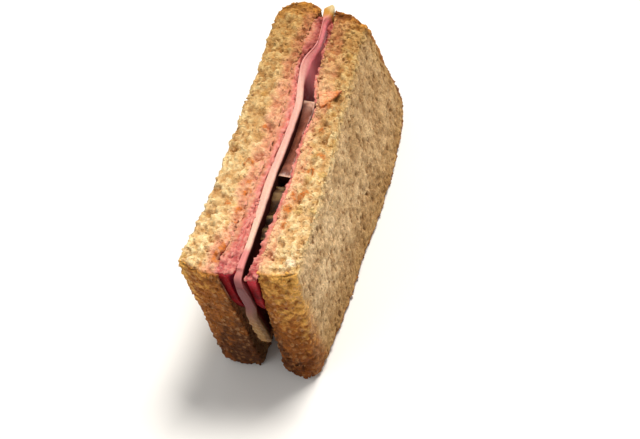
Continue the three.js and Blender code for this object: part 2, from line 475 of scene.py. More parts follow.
RIGHT_OUTER = BroadFace(
    at_cut=(20.8, 20.4, 20.0, 19.2, 17.9, 16.9, 16.3, 15.7, 15.2, 14.8, 14.0),
    at_base=(16.9, 17.3, 19.0, 20.3, 21.3, 22.0, 22.5, 22.2, 21.7, 20.9, 20.0),
    bend=1.15,
    wave=0.3,
)


class Layers:
    """The surfaces x(y, z) of the filling, stacked inwards from the two bread slices."""

    SALAMI_LEFT = (2.4, 2.4, 2.3, 2.1, 2.3, 2.5, 1.7, 1.0, 2.6, 2.8, 0.2)
    SALAMI_RIGHT = (2.5, 2.5, 2.0, 1.3, 1.5, 1.1, 1.4, 1.0, 1.3, 1.7, 0.4)
    FOLD_ROOM = (3.6, 3.4, 1.9, 0.0, 0.0, 0.0, 0.0, 0.0, 1.4, 0.5, 0.0)
    ROOM_NECK, ROOM_WAIST, ROOM_FOOT_TOP, ROOM_FOOT = 7.0, 0.42, 16.0, 23.0
    CHEESE = (3.1, 3.2, 2.8, 2.9, 2.6, 2.5, 2.4, 2.5, 1.6, 1.2, 2.2)
    FOLD_DEPTH = 14.5
    FOLD_TAPER = 0.3

    @staticmethod
    def salami_left_low(y: Array, z: Array) -> Array:
        """One gap in from the left bread."""
        return LEFT_INNER.x(y, z) + LAYER_GAP

    @classmethod
    def salami_left_high(cls, y: Array, z: Array) -> Array:
        """The left salami's thickness further in."""
        return cls.salami_left_low(y, z) + along(cls.SALAMI_LEFT, y)

    @classmethod
    def salami_left_fill(cls, y: Array, z: Array) -> Array:
        """Its own thickness, and beyond the fold nearly all of the room beside it too."""
        return cls.salami_left_high(y, z) + 0.85 * cls.fold_room(y, z) * step(y, -27, -24.5)

    @classmethod
    def fold_room(cls, y: Array, z: Array) -> Array:
        """The room beside the left salami: a neck at the cut, a waist below it, then nothing.

        Args:
            y: places along the cut.
            z: heights.

        Returns:
            The room's width.
        """
        below = CUT_HEIGHT - z
        neck = mix(1.0, cls.ROOM_WAIST, step(below, 0, cls.ROOM_NECK))
        return along(cls.FOLD_ROOM, y) * neck * (1 - step(below, cls.ROOM_FOOT_TOP, cls.ROOM_FOOT))

    @classmethod
    def fold_low(cls, y: Array, z: Array) -> Array:
        """Half a gap from the left salami."""
        return cls.salami_left_high(y, z) + LAYER_GAP / 2

    @classmethod
    def fold_high(cls, y: Array, z: Array) -> Array:
        """Where the fold ends: it fills its room at the cut, and thins out below.

        Args:
            y: places along the cut.
            z: heights.

        Returns:
            The place of the fold's high side.
        """
        thickness = cls.fold_room(y, z) - LAYER_GAP / 2
        thinning = 1 - cls.FOLD_TAPER * step(CUT_HEIGHT - z, 0, cls.FOLD_DEPTH)
        return cls.fold_low(y, z) + thickness * thinning

    @classmethod
    def cheese_low(cls, y: Array, z: Array) -> Array:
        """One gap from the left salami, or beyond the room for the fold."""
        return cls.salami_left_high(y, z) + LAYER_GAP + cls.fold_room(y, z)

    @classmethod
    def cheese_high(cls, y: Array, z: Array) -> Array:
        """The cheese's thickness further in."""
        return cls.cheese_low(y, z) + along(cls.CHEESE, y)

    @staticmethod
    def salami_right_high(y: Array, z: Array) -> Array:
        """One gap in from the right bread."""
        return RIGHT_INNER.x(y, z) - LAYER_GAP

    @classmethod
    def salami_right_low(cls, y: Array, z: Array) -> Array:
        """The right salami's thickness further in, less below the cut."""
        thinning = 1 - 0.4 * step(CUT_HEIGHT - z, 0, 25)
        return cls.salami_right_high(y, z) - along(cls.SALAMI_RIGHT, y) * thinning

    @classmethod
    def pickle_low(cls, y: Array, z: Array) -> Array:
        """One gap from the cheese."""
        return cls.cheese_high(y, z) + LAYER_GAP

    @classmethod
    def pickle_high(cls, y: Array, z: Array) -> Array:
        """One gap from the right salami."""
        return cls.salami_right_low(y, z) - LAYER_GAP


# ---- Node recipes -------------------------------------------------------------------------------------


class Recipe:
    """A node tree, with short ways to add the nodes that the finishes use."""

    def __init__(self, tree: bpy.types.NodeTree) -> None:
        """Takes an empty tree."""
        self.tree = tree

    def add(
        self, kind: str, inputs: dict[str | int, Value] | None = None, **settings: object
    ) -> bpy.types.Node:
        """Adds a node, sets its settings, and sets or links its inputs.

        Args:
            kind: the node's type name.
            inputs: values or sockets by input name or number.
            settings: the node's own properties.

        Returns:
            The node.
        """
        node = self.tree.nodes.new(kind)
        for name, value in settings.items():
            setattr(node, name, value)
        for name, value in (inputs or {}).items():
            self.put(node.inputs[name], value)
        return node

    def put(self, socket: bpy.types.NodeSocket, value: Value) -> None:
        """Fills an input.

        Args:
            socket: the input.
            value: a socket to link to it, or the plain value that it gets.
        """
        if isinstance(value, bpy.types.NodeSocket):
            self.tree.links.new(value, socket)
        else:
            socket.default_value = value

    def sum(self, kind: str, *values: Value) -> bpy.types.NodeSocket:
        """Does one step of arithmetic on up to three values."""
        return self.add("ShaderNodeMath", dict(enumerate(values)), operation=kind).outputs[0]

    def span(
        self, value: Value, low: float, high: float, to_low: float = 0.0, to_high: float = 1.0
    ) -> bpy.types.NodeSocket:
        """Maps low to high onto another span, smoothly and clipped.

        Args:
            value: the socket to map.
            low: value that maps to to_low.
            high: value that maps to to_high.
            to_low: start of the result.
            to_high: end of the result.

        Returns:
            The mapped socket.
        """
        ends = {0: value, 1: low, 2: high, 3: to_low, 4: to_high}
        return self.add("ShaderNodeMapRange", ends, interpolation_type="SMOOTHSTEP").outputs[0]

    def blend(self, share: Value, first: Value, second: Value, kind: str = "MIX") -> bpy.types.NodeSocket:
        """Mixes two colours.

        Args:
            share: how much of the second.
            first: the colour beneath.
            second: the colour laid over it.
            kind: how it is laid over.

        Returns:
            The mixed colour.
        """
        node = self.add("ShaderNodeMix", {0: share}, data_type="RGBA", blend_type=kind)
        self.put(node.inputs[6], first)
        self.put(node.inputs[7], second)
        return node.outputs[2]

    def mark(self, name: str) -> bpy.types.NodeSocket:
        """Reads a mark painted on the piece's points."""
        return self.add("ShaderNodeAttribute", attribute_name=name, attribute_type="GEOMETRY").outputs["Fac"]

    def place(self, scale: Triple = (1, 1, 1)) -> bpy.types.NodeSocket:
        """Reads the place on the object.

        Args:
            scale: what each axis is multiplied by.

        Returns:
            The place in metres, times the scale.
        """
        where = self.add("ShaderNodeTexCoord").outputs["Object"]
        if scale == (1, 1, 1):
            return where
        return self.add("ShaderNodeMapping", {"Vector": where, "Scale": scale}).outputs[0]

    def height(self) -> bpy.types.NodeSocket:
        """Height above the long crust edge, in metres."""
        return self.add("ShaderNodeSeparateXYZ", {0: self.place()}).outputs["Z"]

    def vary(self, shader: bpy.types.Node, colour: Value, value: Value) -> None:
        """Gives a shader its colour, made lighter and darker by a value near 1."""
        varied = self.add("ShaderNodeHueSaturation", {"Value": value, "Color": colour})
        self.put(shader.inputs["Base Color"], varied.outputs[0])

    def bump(self, shader: bpy.types.Node, relief: Value, strength: float, distance: float) -> None:
        """Tilts a shader's surface by a relief whose full height is a distance in metres."""
        tilted = self.add("ShaderNodeBump", {"Height": relief, "Strength": strength, "Distance": distance})
        self.put(shader.inputs["Normal"], tilted.outputs[0])

    def group(self, effect: bpy.types.NodeTree, **inputs: Value) -> bpy.types.NodeSocket:
        """Places a shared effect with its own values.

        Args:
            effect: the effect's node group.
            inputs: its inputs by name, in small letters.

        Returns:
            Its first output.
        """
        node = self.add("ShaderNodeGroup", node_tree=effect)
        for name, value in inputs.items():
            self.put(node.inputs[name.capitalize()], value)
        return node.outputs[0]


class Effects:
    """The effects that several finishes share, each a node group built once."""

    def __init__(self) -> None:
        """Builds the groups."""
        self.grain = self._grain()
        self.flecks = self._flecks()
        self.mottle = self._mottle()

    @staticmethod
    def _open(name: str, sockets: dict[str, tuple[str, float]], result: str) -> tuple[Recipe, dict]:
        """Starts a group with its named inputs and one output.

        Args:
            name: the group's name.
            sockets: type and usual value of each input.
            result: the output's name.

        Returns:
            The group's recipe and its input sockets by name.
        """
        tree = bpy.data.node_groups.new(name, "ShaderNodeTree")
        for label, (kind, usual) in sockets.items():
            entry = tree.interface.new_socket(label, in_out="INPUT", socket_type=kind)
            if kind == "NodeSocketFloat":
                entry.default_value = usual
        tree.interface.new_socket(result, in_out="OUTPUT", socket_type="NodeSocketFloat")
        recipe = Recipe(tree)
        return recipe, recipe.add("NodeGroupInput").outputs

    @classmethod
    def _grain(cls) -> bpy.types.NodeTree:
        """Even fine grain from 0 to 1, with features of about Size millimetres.

        Returns:
            The node group.
        """
        recipe, given = cls._open(
            "grain", {"Vector": ("NodeSocketVector", 0), "Size": ("NodeSocketFloat", 1)}, "Value"
        )
        scale = recipe.sum("DIVIDE", 1000.0, given["Size"])
        noise = recipe.add(
            "ShaderNodeTexNoise", {"Vector": given["Vector"], "Scale": scale, "Detail": 3.0, "Roughness": 0.6}
        )
        recipe.add("NodeGroupOutput", {0: recipe.span(noise.outputs[0], 0.3, 0.7)})
        return recipe.tree

    @classmethod
    def _flecks(cls) -> bpy.types.NodeTree:
        """Scattered flecks: near a cell's seat, in the cells whose own number is under Share.

        Returns:
            The node group.
        """
        recipe, given = cls._open(
            "flecks",
            {
                "Vector": ("NodeSocketVector", 0),
                "Size": ("NodeSocketFloat", 1.5),
                "Share": ("NodeSocketFloat", 0.3),
                "Reach": ("NodeSocketFloat", 0.35),
            },
            "Mask",
        )
        scale = recipe.sum("DIVIDE", 1000.0, given["Size"])
        wobble = recipe.add("ShaderNodeTexNoise", {"Vector": given["Vector"], "Scale": scale, "Detail": 2.0})
        sway = (0.0007,) * 3  # metres
        shift = recipe.add("ShaderNodeVectorMath", {0: wobble.outputs[1], 1: sway}, operation="MULTIPLY")
        moved = recipe.add("ShaderNodeVectorMath", {0: given["Vector"], 1: shift.outputs[0]}, operation="ADD")
        cells = recipe.add("ShaderNodeTexVoronoi", {"Vector": moved.outputs[0], "Scale": scale})
        number = recipe.add("ShaderNodeSeparateColor", {0: cells.outputs["Color"]}).outputs[0]
        chosen = recipe.sum("LESS_THAN", number, given["Share"])
        far = recipe.sum("DIVIDE", cells.outputs["Distance"], given["Reach"])
        near = recipe.span(far, 0.6, 1.15, 1.0, 0.0)
        recipe.add("NodeGroupOutput", {0: recipe.sum("MULTIPLY", near, chosen)})
        return recipe.tree

    @classmethod
    def _mottle(cls) -> bpy.types.NodeTree:
        """Soft broad patches from 0 to 1, of about Size millimetres, wandering at their edges.

        Returns:
            The node group.
        """
        recipe, given = cls._open(
            "mottle", {"Vector": ("NodeSocketVector", 0), "Size": ("NodeSocketFloat", 8)}, "Value"
        )
        scale = recipe.sum("DIVIDE", 1000.0, given["Size"])
        noise = recipe.add(
            "ShaderNodeTexNoise",
            {"Vector": given["Vector"], "Scale": scale, "Detail": 4.0, "Roughness": 0.55, "Distortion": 0.6},
        )
        recipe.add("NodeGroupOutput", {0: recipe.span(noise.outputs[0], 0.32, 0.68)})
        return recipe.tree


def new_material(name: str) -> tuple[bpy.types.Material, Recipe, bpy.types.Node]:
    """Starts a material with an empty tree, a Principled shader and its output.

    Args:
        name: the material's name.

    Returns:
        The material, its recipe and the shader.
    """
    material = bpy.data.materials.new(name)
    material.use_nodes = True
    material.node_tree.nodes.clear()
    recipe = Recipe(material.node_tree)
    shader = recipe.add("ShaderNodeBsdfPrincipled")
    recipe.add("ShaderNodeOutputMaterial", {"Surface": shader.outputs[0]})
    return material, recipe, shader


def soften(shader: bpy.types.Node, gloss: float, share: float, spread: Triple, depth: float) -> None:
    """Sets how strongly a surface shines and how light soaks into it.

    Args:
        shader: the material's shader.
        gloss: strength of the shine, where 0.5 is usual.
        share: share of the light that soaks in.
        spread: how far red, green and blue spread, as shares of the depth.
        depth: the depth in metres.
    """
    shader.inputs["Specular IOR Level"].default_value = gloss
    shader.inputs["Subsurface Weight"].default_value = share
    shader.inputs["Subsurface Radius"].default_value = spread
    shader.inputs["Subsurface Scale"].default_value = depth


# ---- Finishes -----------------------------------------------------------------------------------------


@dataclass(frozen=True)
class BreadFinish:
    """Wholemeal bread: open crumb on the cut, fine pores on the faces, toasted crust, filling's stain,
    painted shade in creases, hollows and low parts, and painted light on the crust's outer rim.
    """

    crumb_pale: Colour = tone(252, 230, 178)
    crumb_warm: Colour = tone(236, 198, 138)
    husk: Colour = tone(206, 170, 92)
    crease: Colour = tone(184, 128, 66)
    crease_red: Colour = tone(190, 112, 80)
    face_pale: Colour = tone(236, 203, 156)
    face_dull: Colour = tone(200, 164, 117)
    face_deep: Colour = tone(146, 106, 64)
    # Multiplied in as painted shade.
    tan: Colour = tone(208, 192, 162)
    # Dark brown of the upright flecks, and of the painted shade in hollows and pores.
    pore: Colour = tone(128, 84, 44)
    bran: Colour = tone(138, 92, 48)
    crust_gold: Colour = tone(250, 186, 92)
    crust_brown: Colour = tone(172, 100, 32)
    crust_dark: Colour = tone(94, 50, 10)
    crust_flake: Colour = tone(222, 168, 116)
    peach: Colour = tone(248, 204, 156)
    salmon: Colour = tone(244, 180, 146)
    pink: Colour = tone(230, 148, 130)
    orange: Colour = tone(204, 116, 44)
    smear: Colour = tone(250, 236, 210)
    seep: Colour = tone(110, 22, 18)

    def make(self, effects: Effects) -> bpy.types.Material:
        """Builds the material.

        Args:
            effects: the shared node groups.

        Returns:
            The material. Its colour starts from the crumb, and each kind of surface is laid over it
            by its mark.
        """
        material, r, shader = new_material("bread")
        place = r.place()
        fine = r.group(effects.grain, vector=place, size=0.7)
        coarse = r.group(effects.grain, vector=place, size=2.2)
        patch = r.group(effects.mottle, vector=place, size=9.0)
        crease, pore, cut, crust = (r.mark(name) for name in ("crease", "pore", "cut", "crust"))
        crumb = r.blend(coarse, self.crumb_warm, self.crumb_pale)
        husk = r.group(effects.flecks, vector=place, size=4.2, share=0.3, reach=0.42)
        crumb = r.blend(r.sum("MULTIPLY", husk, 0.6), crumb, self.husk)
        face = r.blend(patch, self.face_dull, self.face_pale)
        # Painted shade: the broad faces turn darker in the creases between their lumps.
        face = r.blend(r.sum("MULTIPLY", crease, 0.6), face, self.face_deep)
        colour = r.blend(cut, face, crumb)
        strokes = r.group(effects.flecks, vector=r.place((1, 1, 0.55)), size=2.3, share=0.5, reach=0.24)
        colour = r.blend(r.sum("MULTIPLY", strokes, r.span(cut, 0, 1, 0.6, 0.12)), colour, self.pore)
        # Painted shade: the pore mark darkens the hollows and pores.
        colour = r.blend(r.sum("MULTIPLY", pore, r.span(cut, 0, 1, 0.85, 0.7)), colour, self.pore)
        # The filling's stain, from peach to pink towards the filling, with orange where it fades.
        stain = r.mark("stain")
        red = r.blend(r.span(stain, 0.45, 0.8), self.peach, self.salmon)
        red = r.blend(r.span(stain, 0.75, 1.0), red, self.pink)
        tint = r.sum("MULTIPLY", r.span(stain, 0.0, 0.7), r.span(coarse, 0, 1, 0.55, 0.95))
        colour = r.blend(tint, colour, red)
        # Painted shade in the cut's creases: ochre, turning red-brown in the stain.
        shade = r.blend(r.span(stain, 0.1, 0.6), self.crease, self.crease_red)
        colour = r.blend(r.sum("MULTIPLY", crease, r.span(cut, 0, 1, 0.0, 0.7)), colour, shade)
        rusty = r.sum("MULTIPLY", r.mark("orange"), r.span(fine, 0, 1, 0.6, 1.0))
        colour = r.blend(rusty, colour, self.orange)
        # The crust, golden at the cut and painted darker lower down as shade.
        low = r.span(r.height(), 0.0, 0.056, 0.6, -0.1)
        toast = r.sum("ADD", r.sum("MULTIPLY", coarse, 0.35), r.sum("ADD", low, r.mark("toasting")))
        toast = r.sum("ADD", toast, r.sum("MULTIPLY", r.group(effects.mottle, vector=place, size=3.6), 0.4))
        toasted = r.blend(r.span(toast, 0.1, 0.75), self.crust_gold, self.crust_brown)
        toasted = r.blend(r.span(toast, 0.65, 1.35), toasted, self.crust_dark)
        flake = r.group(effects.flecks, vector=place, size=2.1, share=0.5, reach=0.4)
        flaky = r.sum("MULTIPLY", flake, r.span(toast, 0.1, 1.3, 0.5, 0.42))
        toasted = r.blend(flaky, toasted, self.crust_flake)
        # Painted shade: the crust turns dark brown in its creases.
        toasted = r.blend(r.sum("MULTIPLY", crease, r.span(crust, 0, 1, 0.0, 0.6)), toasted, self.crust_dark)
        colour = r.blend(crust, colour, toasted)
        bran = r.group(effects.flecks, vector=place, size=2.1, share=0.3, reach=0.2)
        colour = r.blend(r.sum("MULTIPLY", bran, 0.7), colour, self.bran)
        colour = r.blend(r.sum("MULTIPLY", r.mark("smear"), 0.6), colour, self.smear)
        # Dark red cracks and spots, and painted shade next to the filling at the far end.
        colour = r.blend(r.mark("seep"), colour, self.seep)
        # Painted shade: darker towards the base and the far end.
        colour = r.blend(r.mark("tan"), colour, self.tan, "MULTIPLY")
        r.vary(shader, colour, r.span(fine, 0, 1, 0.84, 1.1))
        r.put(shader.inputs["Roughness"], r.span(crust, 0, 1, 0.9, 0.7))
        soften(shader, 0.2, 0.12, (1.0, 0.6, 0.35), 0.0012)
        tiny = r.group(effects.grain, vector=place, size=0.3)
        relief = r.sum("ADD", fine, r.sum("MULTIPLY", tiny, 0.2))
        relief = r.sum("SUBTRACT", relief, r.sum("MULTIPLY", strokes, 0.8))
        relief = r.sum("ADD", relief, r.sum("MULTIPLY", flake, 0.5))
        r.bump(shader, relief, 0.6, 0.0005)
        return material


@dataclass(frozen=True)
class BranFinish:
    """Loose flakes of bran, brown with paler edges."""

    dark: Colour = tone(122, 80, 44)
    pale: Colour = tone(186, 138, 84)

    def make(self, effects: Effects) -> bpy.types.Material:
        """Builds the material.

        Args:
            effects: the shared node groups.

        Returns:
            The material: the two browns, mixed by fine grain.
        """
        material, r, shader = new_material("bran")
        grain = r.group(effects.grain, vector=r.place(), size=1.1)
        r.put(shader.inputs["Base Color"], r.blend(grain, self.dark, self.pale))
        r.put(shader.inputs["Roughness"], r.span(grain, 0, 1, 0.6, 0.85))
        r.bump(shader, grain, 0.4, 0.0001)
        return material


@dataclass(frozen=True)
class SalamiFinish:
    """Cooked salami: deep red faces with small fat flecks, a nubby pink cut edge, painted shade and a red rim
    of painted light.
    """

    meat: Colour = tone(158, 14, 24)
    meat_dark: Colour = tone(100, 4, 12)
    fat: Colour = tone(226, 130, 120)
    cut_pink: Colour = tone(220, 150, 134)
    cut_rose: Colour = tone(184, 88, 80)
    cut_peach: Colour = tone(208, 156, 122)
    cut_salmon: Colour = tone(184, 108, 80)
    cut_deep: Colour = tone(172, 92, 78)
    cut_deepest: Colour = tone(116, 36, 32)
    cut_raw: Colour = tone(156, 46, 54)
    purple: Colour = tone(96, 10, 40)
    rim: Colour = tone(204, 50, 64)

    def make(self, effects: Effects) -> bpy.types.Material:
        """Builds the material.

        Args:
            effects: the shared node groups.

        Returns:
            The material: meat with fat flecks and painted purple shade, the cut's pinks with painted shade
                over it, then the rim of painted light.
        """
        material, r, shader = new_material("salami")
        place = r.place()
        fine = r.group(effects.grain, vector=place, size=0.8)
        broad = r.group(effects.mottle, vector=place, size=6.0)
        face = r.blend(broad, self.meat_dark, self.meat)
        fat = r.group(effects.flecks, vector=place, size=2.0, share=0.3, reach=0.34)
        face = r.blend(r.sum("MULTIPLY", fat, 0.05), face, self.fat)
        # Painted shade: the fold's faces turn purple towards the cheese.
        face = r.blend(r.mark("purple"), face, self.purple)
        # Painted shade: the cut turns darker in its creases and pits.
        depth = r.sum("ADD", r.sum("MULTIPLY", fine, 0.35), r.sum("MULTIPLY", r.mark("crease"), 0.65))
        light = r.blend(r.mark("fade"), self.cut_pink, self.cut_peach)
        dark = r.blend(r.mark("fade"), r.blend(r.mark("raw"), self.cut_rose, self.cut_raw), self.cut_salmon)
        # Painted shade: the cut is darker towards the far end.
        light = r.blend(r.mark("deep"), light, self.cut_deep)
        dark = r.blend(r.mark("deep"), dark, self.cut_deepest)
        cut = r.blend(depth, light, dark)
        colour = r.blend(r.mark("cut"), face, cut)
        # Painted light: a brighter red rim at the top of the near end.
        colour = r.blend(r.sum("MULTIPLY", r.mark("rim"), 0.85), colour, self.rim)
        r.vary(shader, colour, r.span(fine, 0, 1, 0.9, 1.1))
        r.put(shader.inputs["Roughness"], r.span(fine, 0, 1, 0.42, 0.62))
        soften(shader, 0.18, 0.15, (1.0, 0.2, 0.12), 0.0012)
        relief = r.sum("ADD", fine, r.sum("MULTIPLY", fat, 0.4))
        r.bump(shader, relief, 0.4, 0.0003)
        return material


@dataclass(frozen=True)
class CheeseFinish:
    """Pale melted cheese: creamy cut edge, pink-stained faces with painted shade, a yellow corner and a near
    end painted darker as shade.
    """

    cream: Colour = tone(204, 152, 140)
    milk: Colour = tone(214, 180, 158)
    rosy: Colour = tone(202, 126, 120)
    pink: Colour = tone(248, 142, 146)
    crimson: Colour = tone(208, 86, 84)
    yellow: Colour = tone(178, 126, 54)
    straw: Colour = tone(190, 168, 122)
    juice: Colour = tone(44, 14, 4)
    wine: Colour = tone(104, 2, 12)
    mauve: Colour = tone(122, 72, 72)
    beige: Colour = tone(158, 122, 78)
    shade: Colour = tone(86, 58, 36)

    def make(self, effects: Effects) -> bpy.types.Material:
        """Builds the material.

        Args:
            effects: the shared node groups.

        Returns:
            The material: the faces' pink with painted shade, the cut's cream, then the corner and the near
                end's painted shade.
        """
        material, r, shader = new_material("cheese")
        place = r.place()
        fine = r.group(effects.grain, vector=place, size=1.0)
        broad = r.group(effects.mottle, vector=place, size=11.0)
        # Painted shade: the faces turn from pink to crimson lower down.
        face = r.blend(r.span(r.height(), 0.034, 0.052), self.crimson, self.pink)
        near = r.span(r.add("ShaderNodeSeparateXYZ", {0: place}).outputs["Y"], -0.045, 0.0, 0.8, 0.1)
        edge = r.blend(r.sum("ADD", r.sum("MULTIPLY", broad, 0.3), near), self.cream, self.milk)
        edge = r.blend(r.mark("rosy"), edge, self.rosy)
        # Painted shade: deep crimson on the face in the pocket.
        face = r.blend(r.mark("wine"), face, self.wine)
        colour = r.blend(r.mark("cut"), face, edge)
        colour = r.blend(r.mark("corner"), colour, self.yellow)
        colour = r.blend(r.mark("tip"), colour, self.straw)
        # Painted shade on the near end's face: mauve high up, beige lower, and darker on its half towards the
        # right slice.
        strip = r.blend(r.span(r.height(), 0.024, 0.044), self.beige, self.mauve)
        strip = r.blend(r.sum("MULTIPLY", r.mark("shade"), 0.7), strip, self.shade)
        colour = r.blend(r.mark("strip"), colour, strip)
        # Painted shade: the face in the pocket is painted nearly black beside the pickles.
        wet = r.sum("MULTIPLY", r.mark("juice"), r.span(broad, 0, 1, 0.8, 1.0))
        colour = r.blend(wet, colour, self.juice)
        r.vary(shader, colour, r.span(fine, 0, 1, 0.95, 1.04))
        rough = r.sum("ADD", r.span(fine, 0, 1, 0.36, 0.5), r.sum("MULTIPLY", r.mark("juice"), 0.3))
        r.put(shader.inputs["Roughness"], rough)
        soften(shader, 0.15, 0.35, (1.0, 0.6, 0.35), 0.002)
        r.bump(shader, fine, 0.2, 0.0002)
        return material


@dataclass(frozen=True)
class PickleFinish:
    """A wet pickle slice: dull flesh, with painted highlights on the rind at its ends and on its ribs, and
    painted shade.
    """

    name: str
    flesh: Colour
    deep: Colour
    pale: Colour
    wet: float
    shade: Colour = tone(34, 12, 8)

    def make(self, effects: Effects) -> bpy.types.Material:
        """Builds the material.

        Args:
            effects: the shared node groups.

        Returns:
            The material: mottled flesh with the pale rind and ribs by their mark, under a wet coat.
        """
        material, r, shader = new_material(self.name)
        place = r.place()
        fine = r.group(effects.grain, vector=place, size=1.2)
        broad = r.group(effects.mottle, vector=place, size=5.0)
        colour = r.blend(broad, self.deep, self.flesh)
        # Painted highlights on the rind and the ribs.
        tint = r.sum("MULTIPLY", r.mark("pale"), r.span(fine, 0, 1, 0.6, 1.0))
        colour = r.blend(tint, colour, self.pale)
        colour = r.blend(r.sum("MULTIPLY", r.mark("shade"), 0.85), colour, self.shade)
        r.put(shader.inputs["Base Color"], colour)
        r.put(shader.inputs["Roughness"], r.span(fine, 0, 1, 0.3, 0.5))
        soften(shader, 0.3, 0.25, (1.0, 0.7, 0.4), 0.002)
        shader.inputs["Coat Weight"].default_value = self.wet
        shader.inputs["Coat Roughness"].default_value = 0.4
        r.bump(shader, fine, 0.3, 0.0004)
        return material


# ---- The bread slices ---------------------------------------------------------------------------------


@dataclass(frozen=True)
class EndCrust:
    """An end crust's place along Y at the base and at the cut, with its bulge between the faces."""

    base: float
    cut_low: float
    cut_high: float
    bulge: float

    def y(self, t: Array, up: Array, outwards: int, bend: float = 1.0) -> Array:
        """Where the crust is.

        Args:
            t: share through the slice.
            up: share of the height.
            outwards: -1 for the near end and 1 for the far one.
            bend: power of the height that the crust's slant follows.

        Returns:
            Base place to cut place by height, slanting through the slice, plus the bulge.
        """
        at_cut = mix(self.cut_low, self.cut_high, t)
        bulge = self.bulge * (1 - np.abs(2 * t - 1) ** 2.5)
        return mix(self.base, at_cut, up**bend) + outwards * bulge


@dataclass
class BreadSlice:
    """A bread slice between two broad faces, with crust on its ends and base and crumb on its cut."""

    node: str
    side: Side
    low: Surface
    high: Surface
    near: EndCrust
    far: EndCrust
    height_near: float
    height_far: float
    seed: int
    stain_from: float  # share of the thickness, from the outer face, where the stain begins
    stain_depth: float = 1.0
    stain_far: float = 0.0  # how much wider the stain is beyond the middle
    toasting: float = 0.0
    far_toasting: float = 0.0
    smears: tuple[Triple, ...] = ()  # x, y and radius of pale smears on the cut
    toasts: tuple[Triple, ...] = ()  # x, y and radius of orange patches on the cut
    seeps: tuple[tuple[tuple[float, float], ...], ...] = ()  # broken lines of dark red cracks
    near_spots: tuple[Triple, ...] = ()  # x, z and radius of dark red spots on the near end
    litter: tuple[Triple, ...] = ()  # x, y and z of small heaps of crumbs
    grid: Lattice = Lattice(272, 120, 38)
    corner_near_base: float = 2.8
    corner_far_base: float = 12.0
    corner_near_cut: float = 1.0
    corner_far_cut: float = 1.2
    crust_round: float = 2.2
    inner_round: float = 0.4
    cut_round: float = 0.8
    crust_wave: float = 0.45

    def build(self) -> Skin:
        """Builds the slice's skin.

        Returns:
            The smooth slab with the crumb's relief pushed in and its marks painted.
        """
        spots, quads = self.grid.build()
        t, u, v = spots.T
        half_length = (self.far.base - self.near.base) / 2
        half_height = CUT_HEIGHT / 2
        y = (2 * u - 1) * half_length
        z = (2 * v - 1) * half_height
        ends = {"near": half_length + y, "far": half_length - y, "base": half_height + z}
        ends["below"] = half_height - z
        inside = np.minimum(half_length - np.abs(y), np.where(z > 0, half_height, half_height + z))
        y, z = self._round_corners(y, z, half_length, half_height)
        across, up = (y / half_length + 1) / 2, (z / half_height + 1) / 2
        near = self.near.y(t, up, -1) - self.crust_wave * swell(60 * up, 31.0)
        far = self.far.y(t, up, 1, 1.6) + self.crust_wave * swell(70 * up, -17.0)
        y = mix(near, far, across)
        z = up * mix(self.height_near, self.height_far, across)
        outer_draw = draw_in(inside, self.crust_round) + draw_in((1 - v) * CUT_HEIGHT, self.cut_round)
        inner_draw = draw_in(inside, np.where(ends["base"] < 4, self.crust_round, self.inner_round))
        inner_draw = inner_draw - 0.35 * (1 - step((1 - v) * CUT_HEIGHT, 0, 1.6))
        low_draw, high_draw = (outer_draw, inner_draw) if self.side is Side.LEFT else (inner_draw, outer_draw)
        x = mix(self.low(y, z) + low_draw, self.high(y, z) - high_draw, t)
        skin = Skin(np.stack([x, y, z], axis=1), quads)
        inner = t if self.side is Side.LEFT else 1 - t
        self._relieve(skin, inner, ends)
        return skin

    def _round_corners(
        self, y: Array, z: Array, half_length: float, half_height: float
    ) -> tuple[Array, Array]:
        """Turns the squares in the outline's corners into quarter discs.

        Args:
            y: lattice places along the slice.
            z: lattice places up it.
            half_length: half the outline's length.
            half_height: half its height.

        Returns:
            The moved places. In each corner's square, nested squares become nested circles.
        """
        base = np.where(y > 0, self.corner_far_base, self.corner_near_base)
        cut = np.where(y > 0, self.corner_far_cut, self.corner_near_cut)
        radius = np.where(z > 0, cut, base)
        dy = (np.abs(y) - (half_length - radius)) / radius
        dz = (np.abs(z) - (half_height - radius)) / radius
        corner = (dy > 0) & (dz > 0)
        pull = np.maximum(dy, dz) / np.maximum(np.hypot(dy, dz), 1e-9)
        moved_y = np.sign(y) * (half_length - radius + radius * dy * pull)
        moved_z = np.sign(z) * (half_height - radius + radius * dz * pull)
        return np.where(corner, moved_y, y), np.where(corner, moved_z, z)

    def _relieve(self, skin: Skin, inner: Array, ends: dict[str, Array]) -> None:
        """Pushes the crumb's relief into the skin and paints its marks.

        The cut gets packed lumps with torn hollows, the broad faces get fine upright pores, and the
        crust gets grains and a few pits. The faces against the filling are only pushed inwards.

        Args:
            skin: the smooth slab.
            inner: share through the slice from its outer face to the filling.
            ends: distances from the near end, the far end, the base and the cut.
        """
        noise = Noise(self.seed)
        points, normals = skin.points, skin.normals()
        cut = step(normals[:, 2], 0.4, 0.8)
        wander = noise.rough(points, 6.0)
        ragged = noise.rough(points + 90, 2.2)
        near = 1 - step(ends["near"] + 0.7 * ragged, 0.4, 2.2)
        far = 1 - step(ends["far"] + 1.2 * wander + 0.6 * ragged, 1.0, 4.0)
        far_cut = 1 - step(ends["far"] + 1.5 * wander + 0.8 * ragged, 2.0, 7.0)
        base = 1 - step(ends["base"] + 0.8 * wander + 0.6 * ragged, 0.5, 3.0)
        crust = np.maximum(np.maximum(near, base), mix(far, far_cut, cut))
        heel = (1 - step(points[:, 1] + 2 * wander, -54, -48)) * (1 - step(points[:, 2] + 2 * wander, 38, 44))
        crust = np.maximum(crust, 0.85 * heel)
        crust_relief = crust * (1 - 0.7 * cut)
        face = (1 - cut) * (1 - crust_relief)
        below = ends["below"]
        edge = 1 - step(inner * SLICE_THICKNESS + below + 0.8 * ragged, 0.0, 4.4)

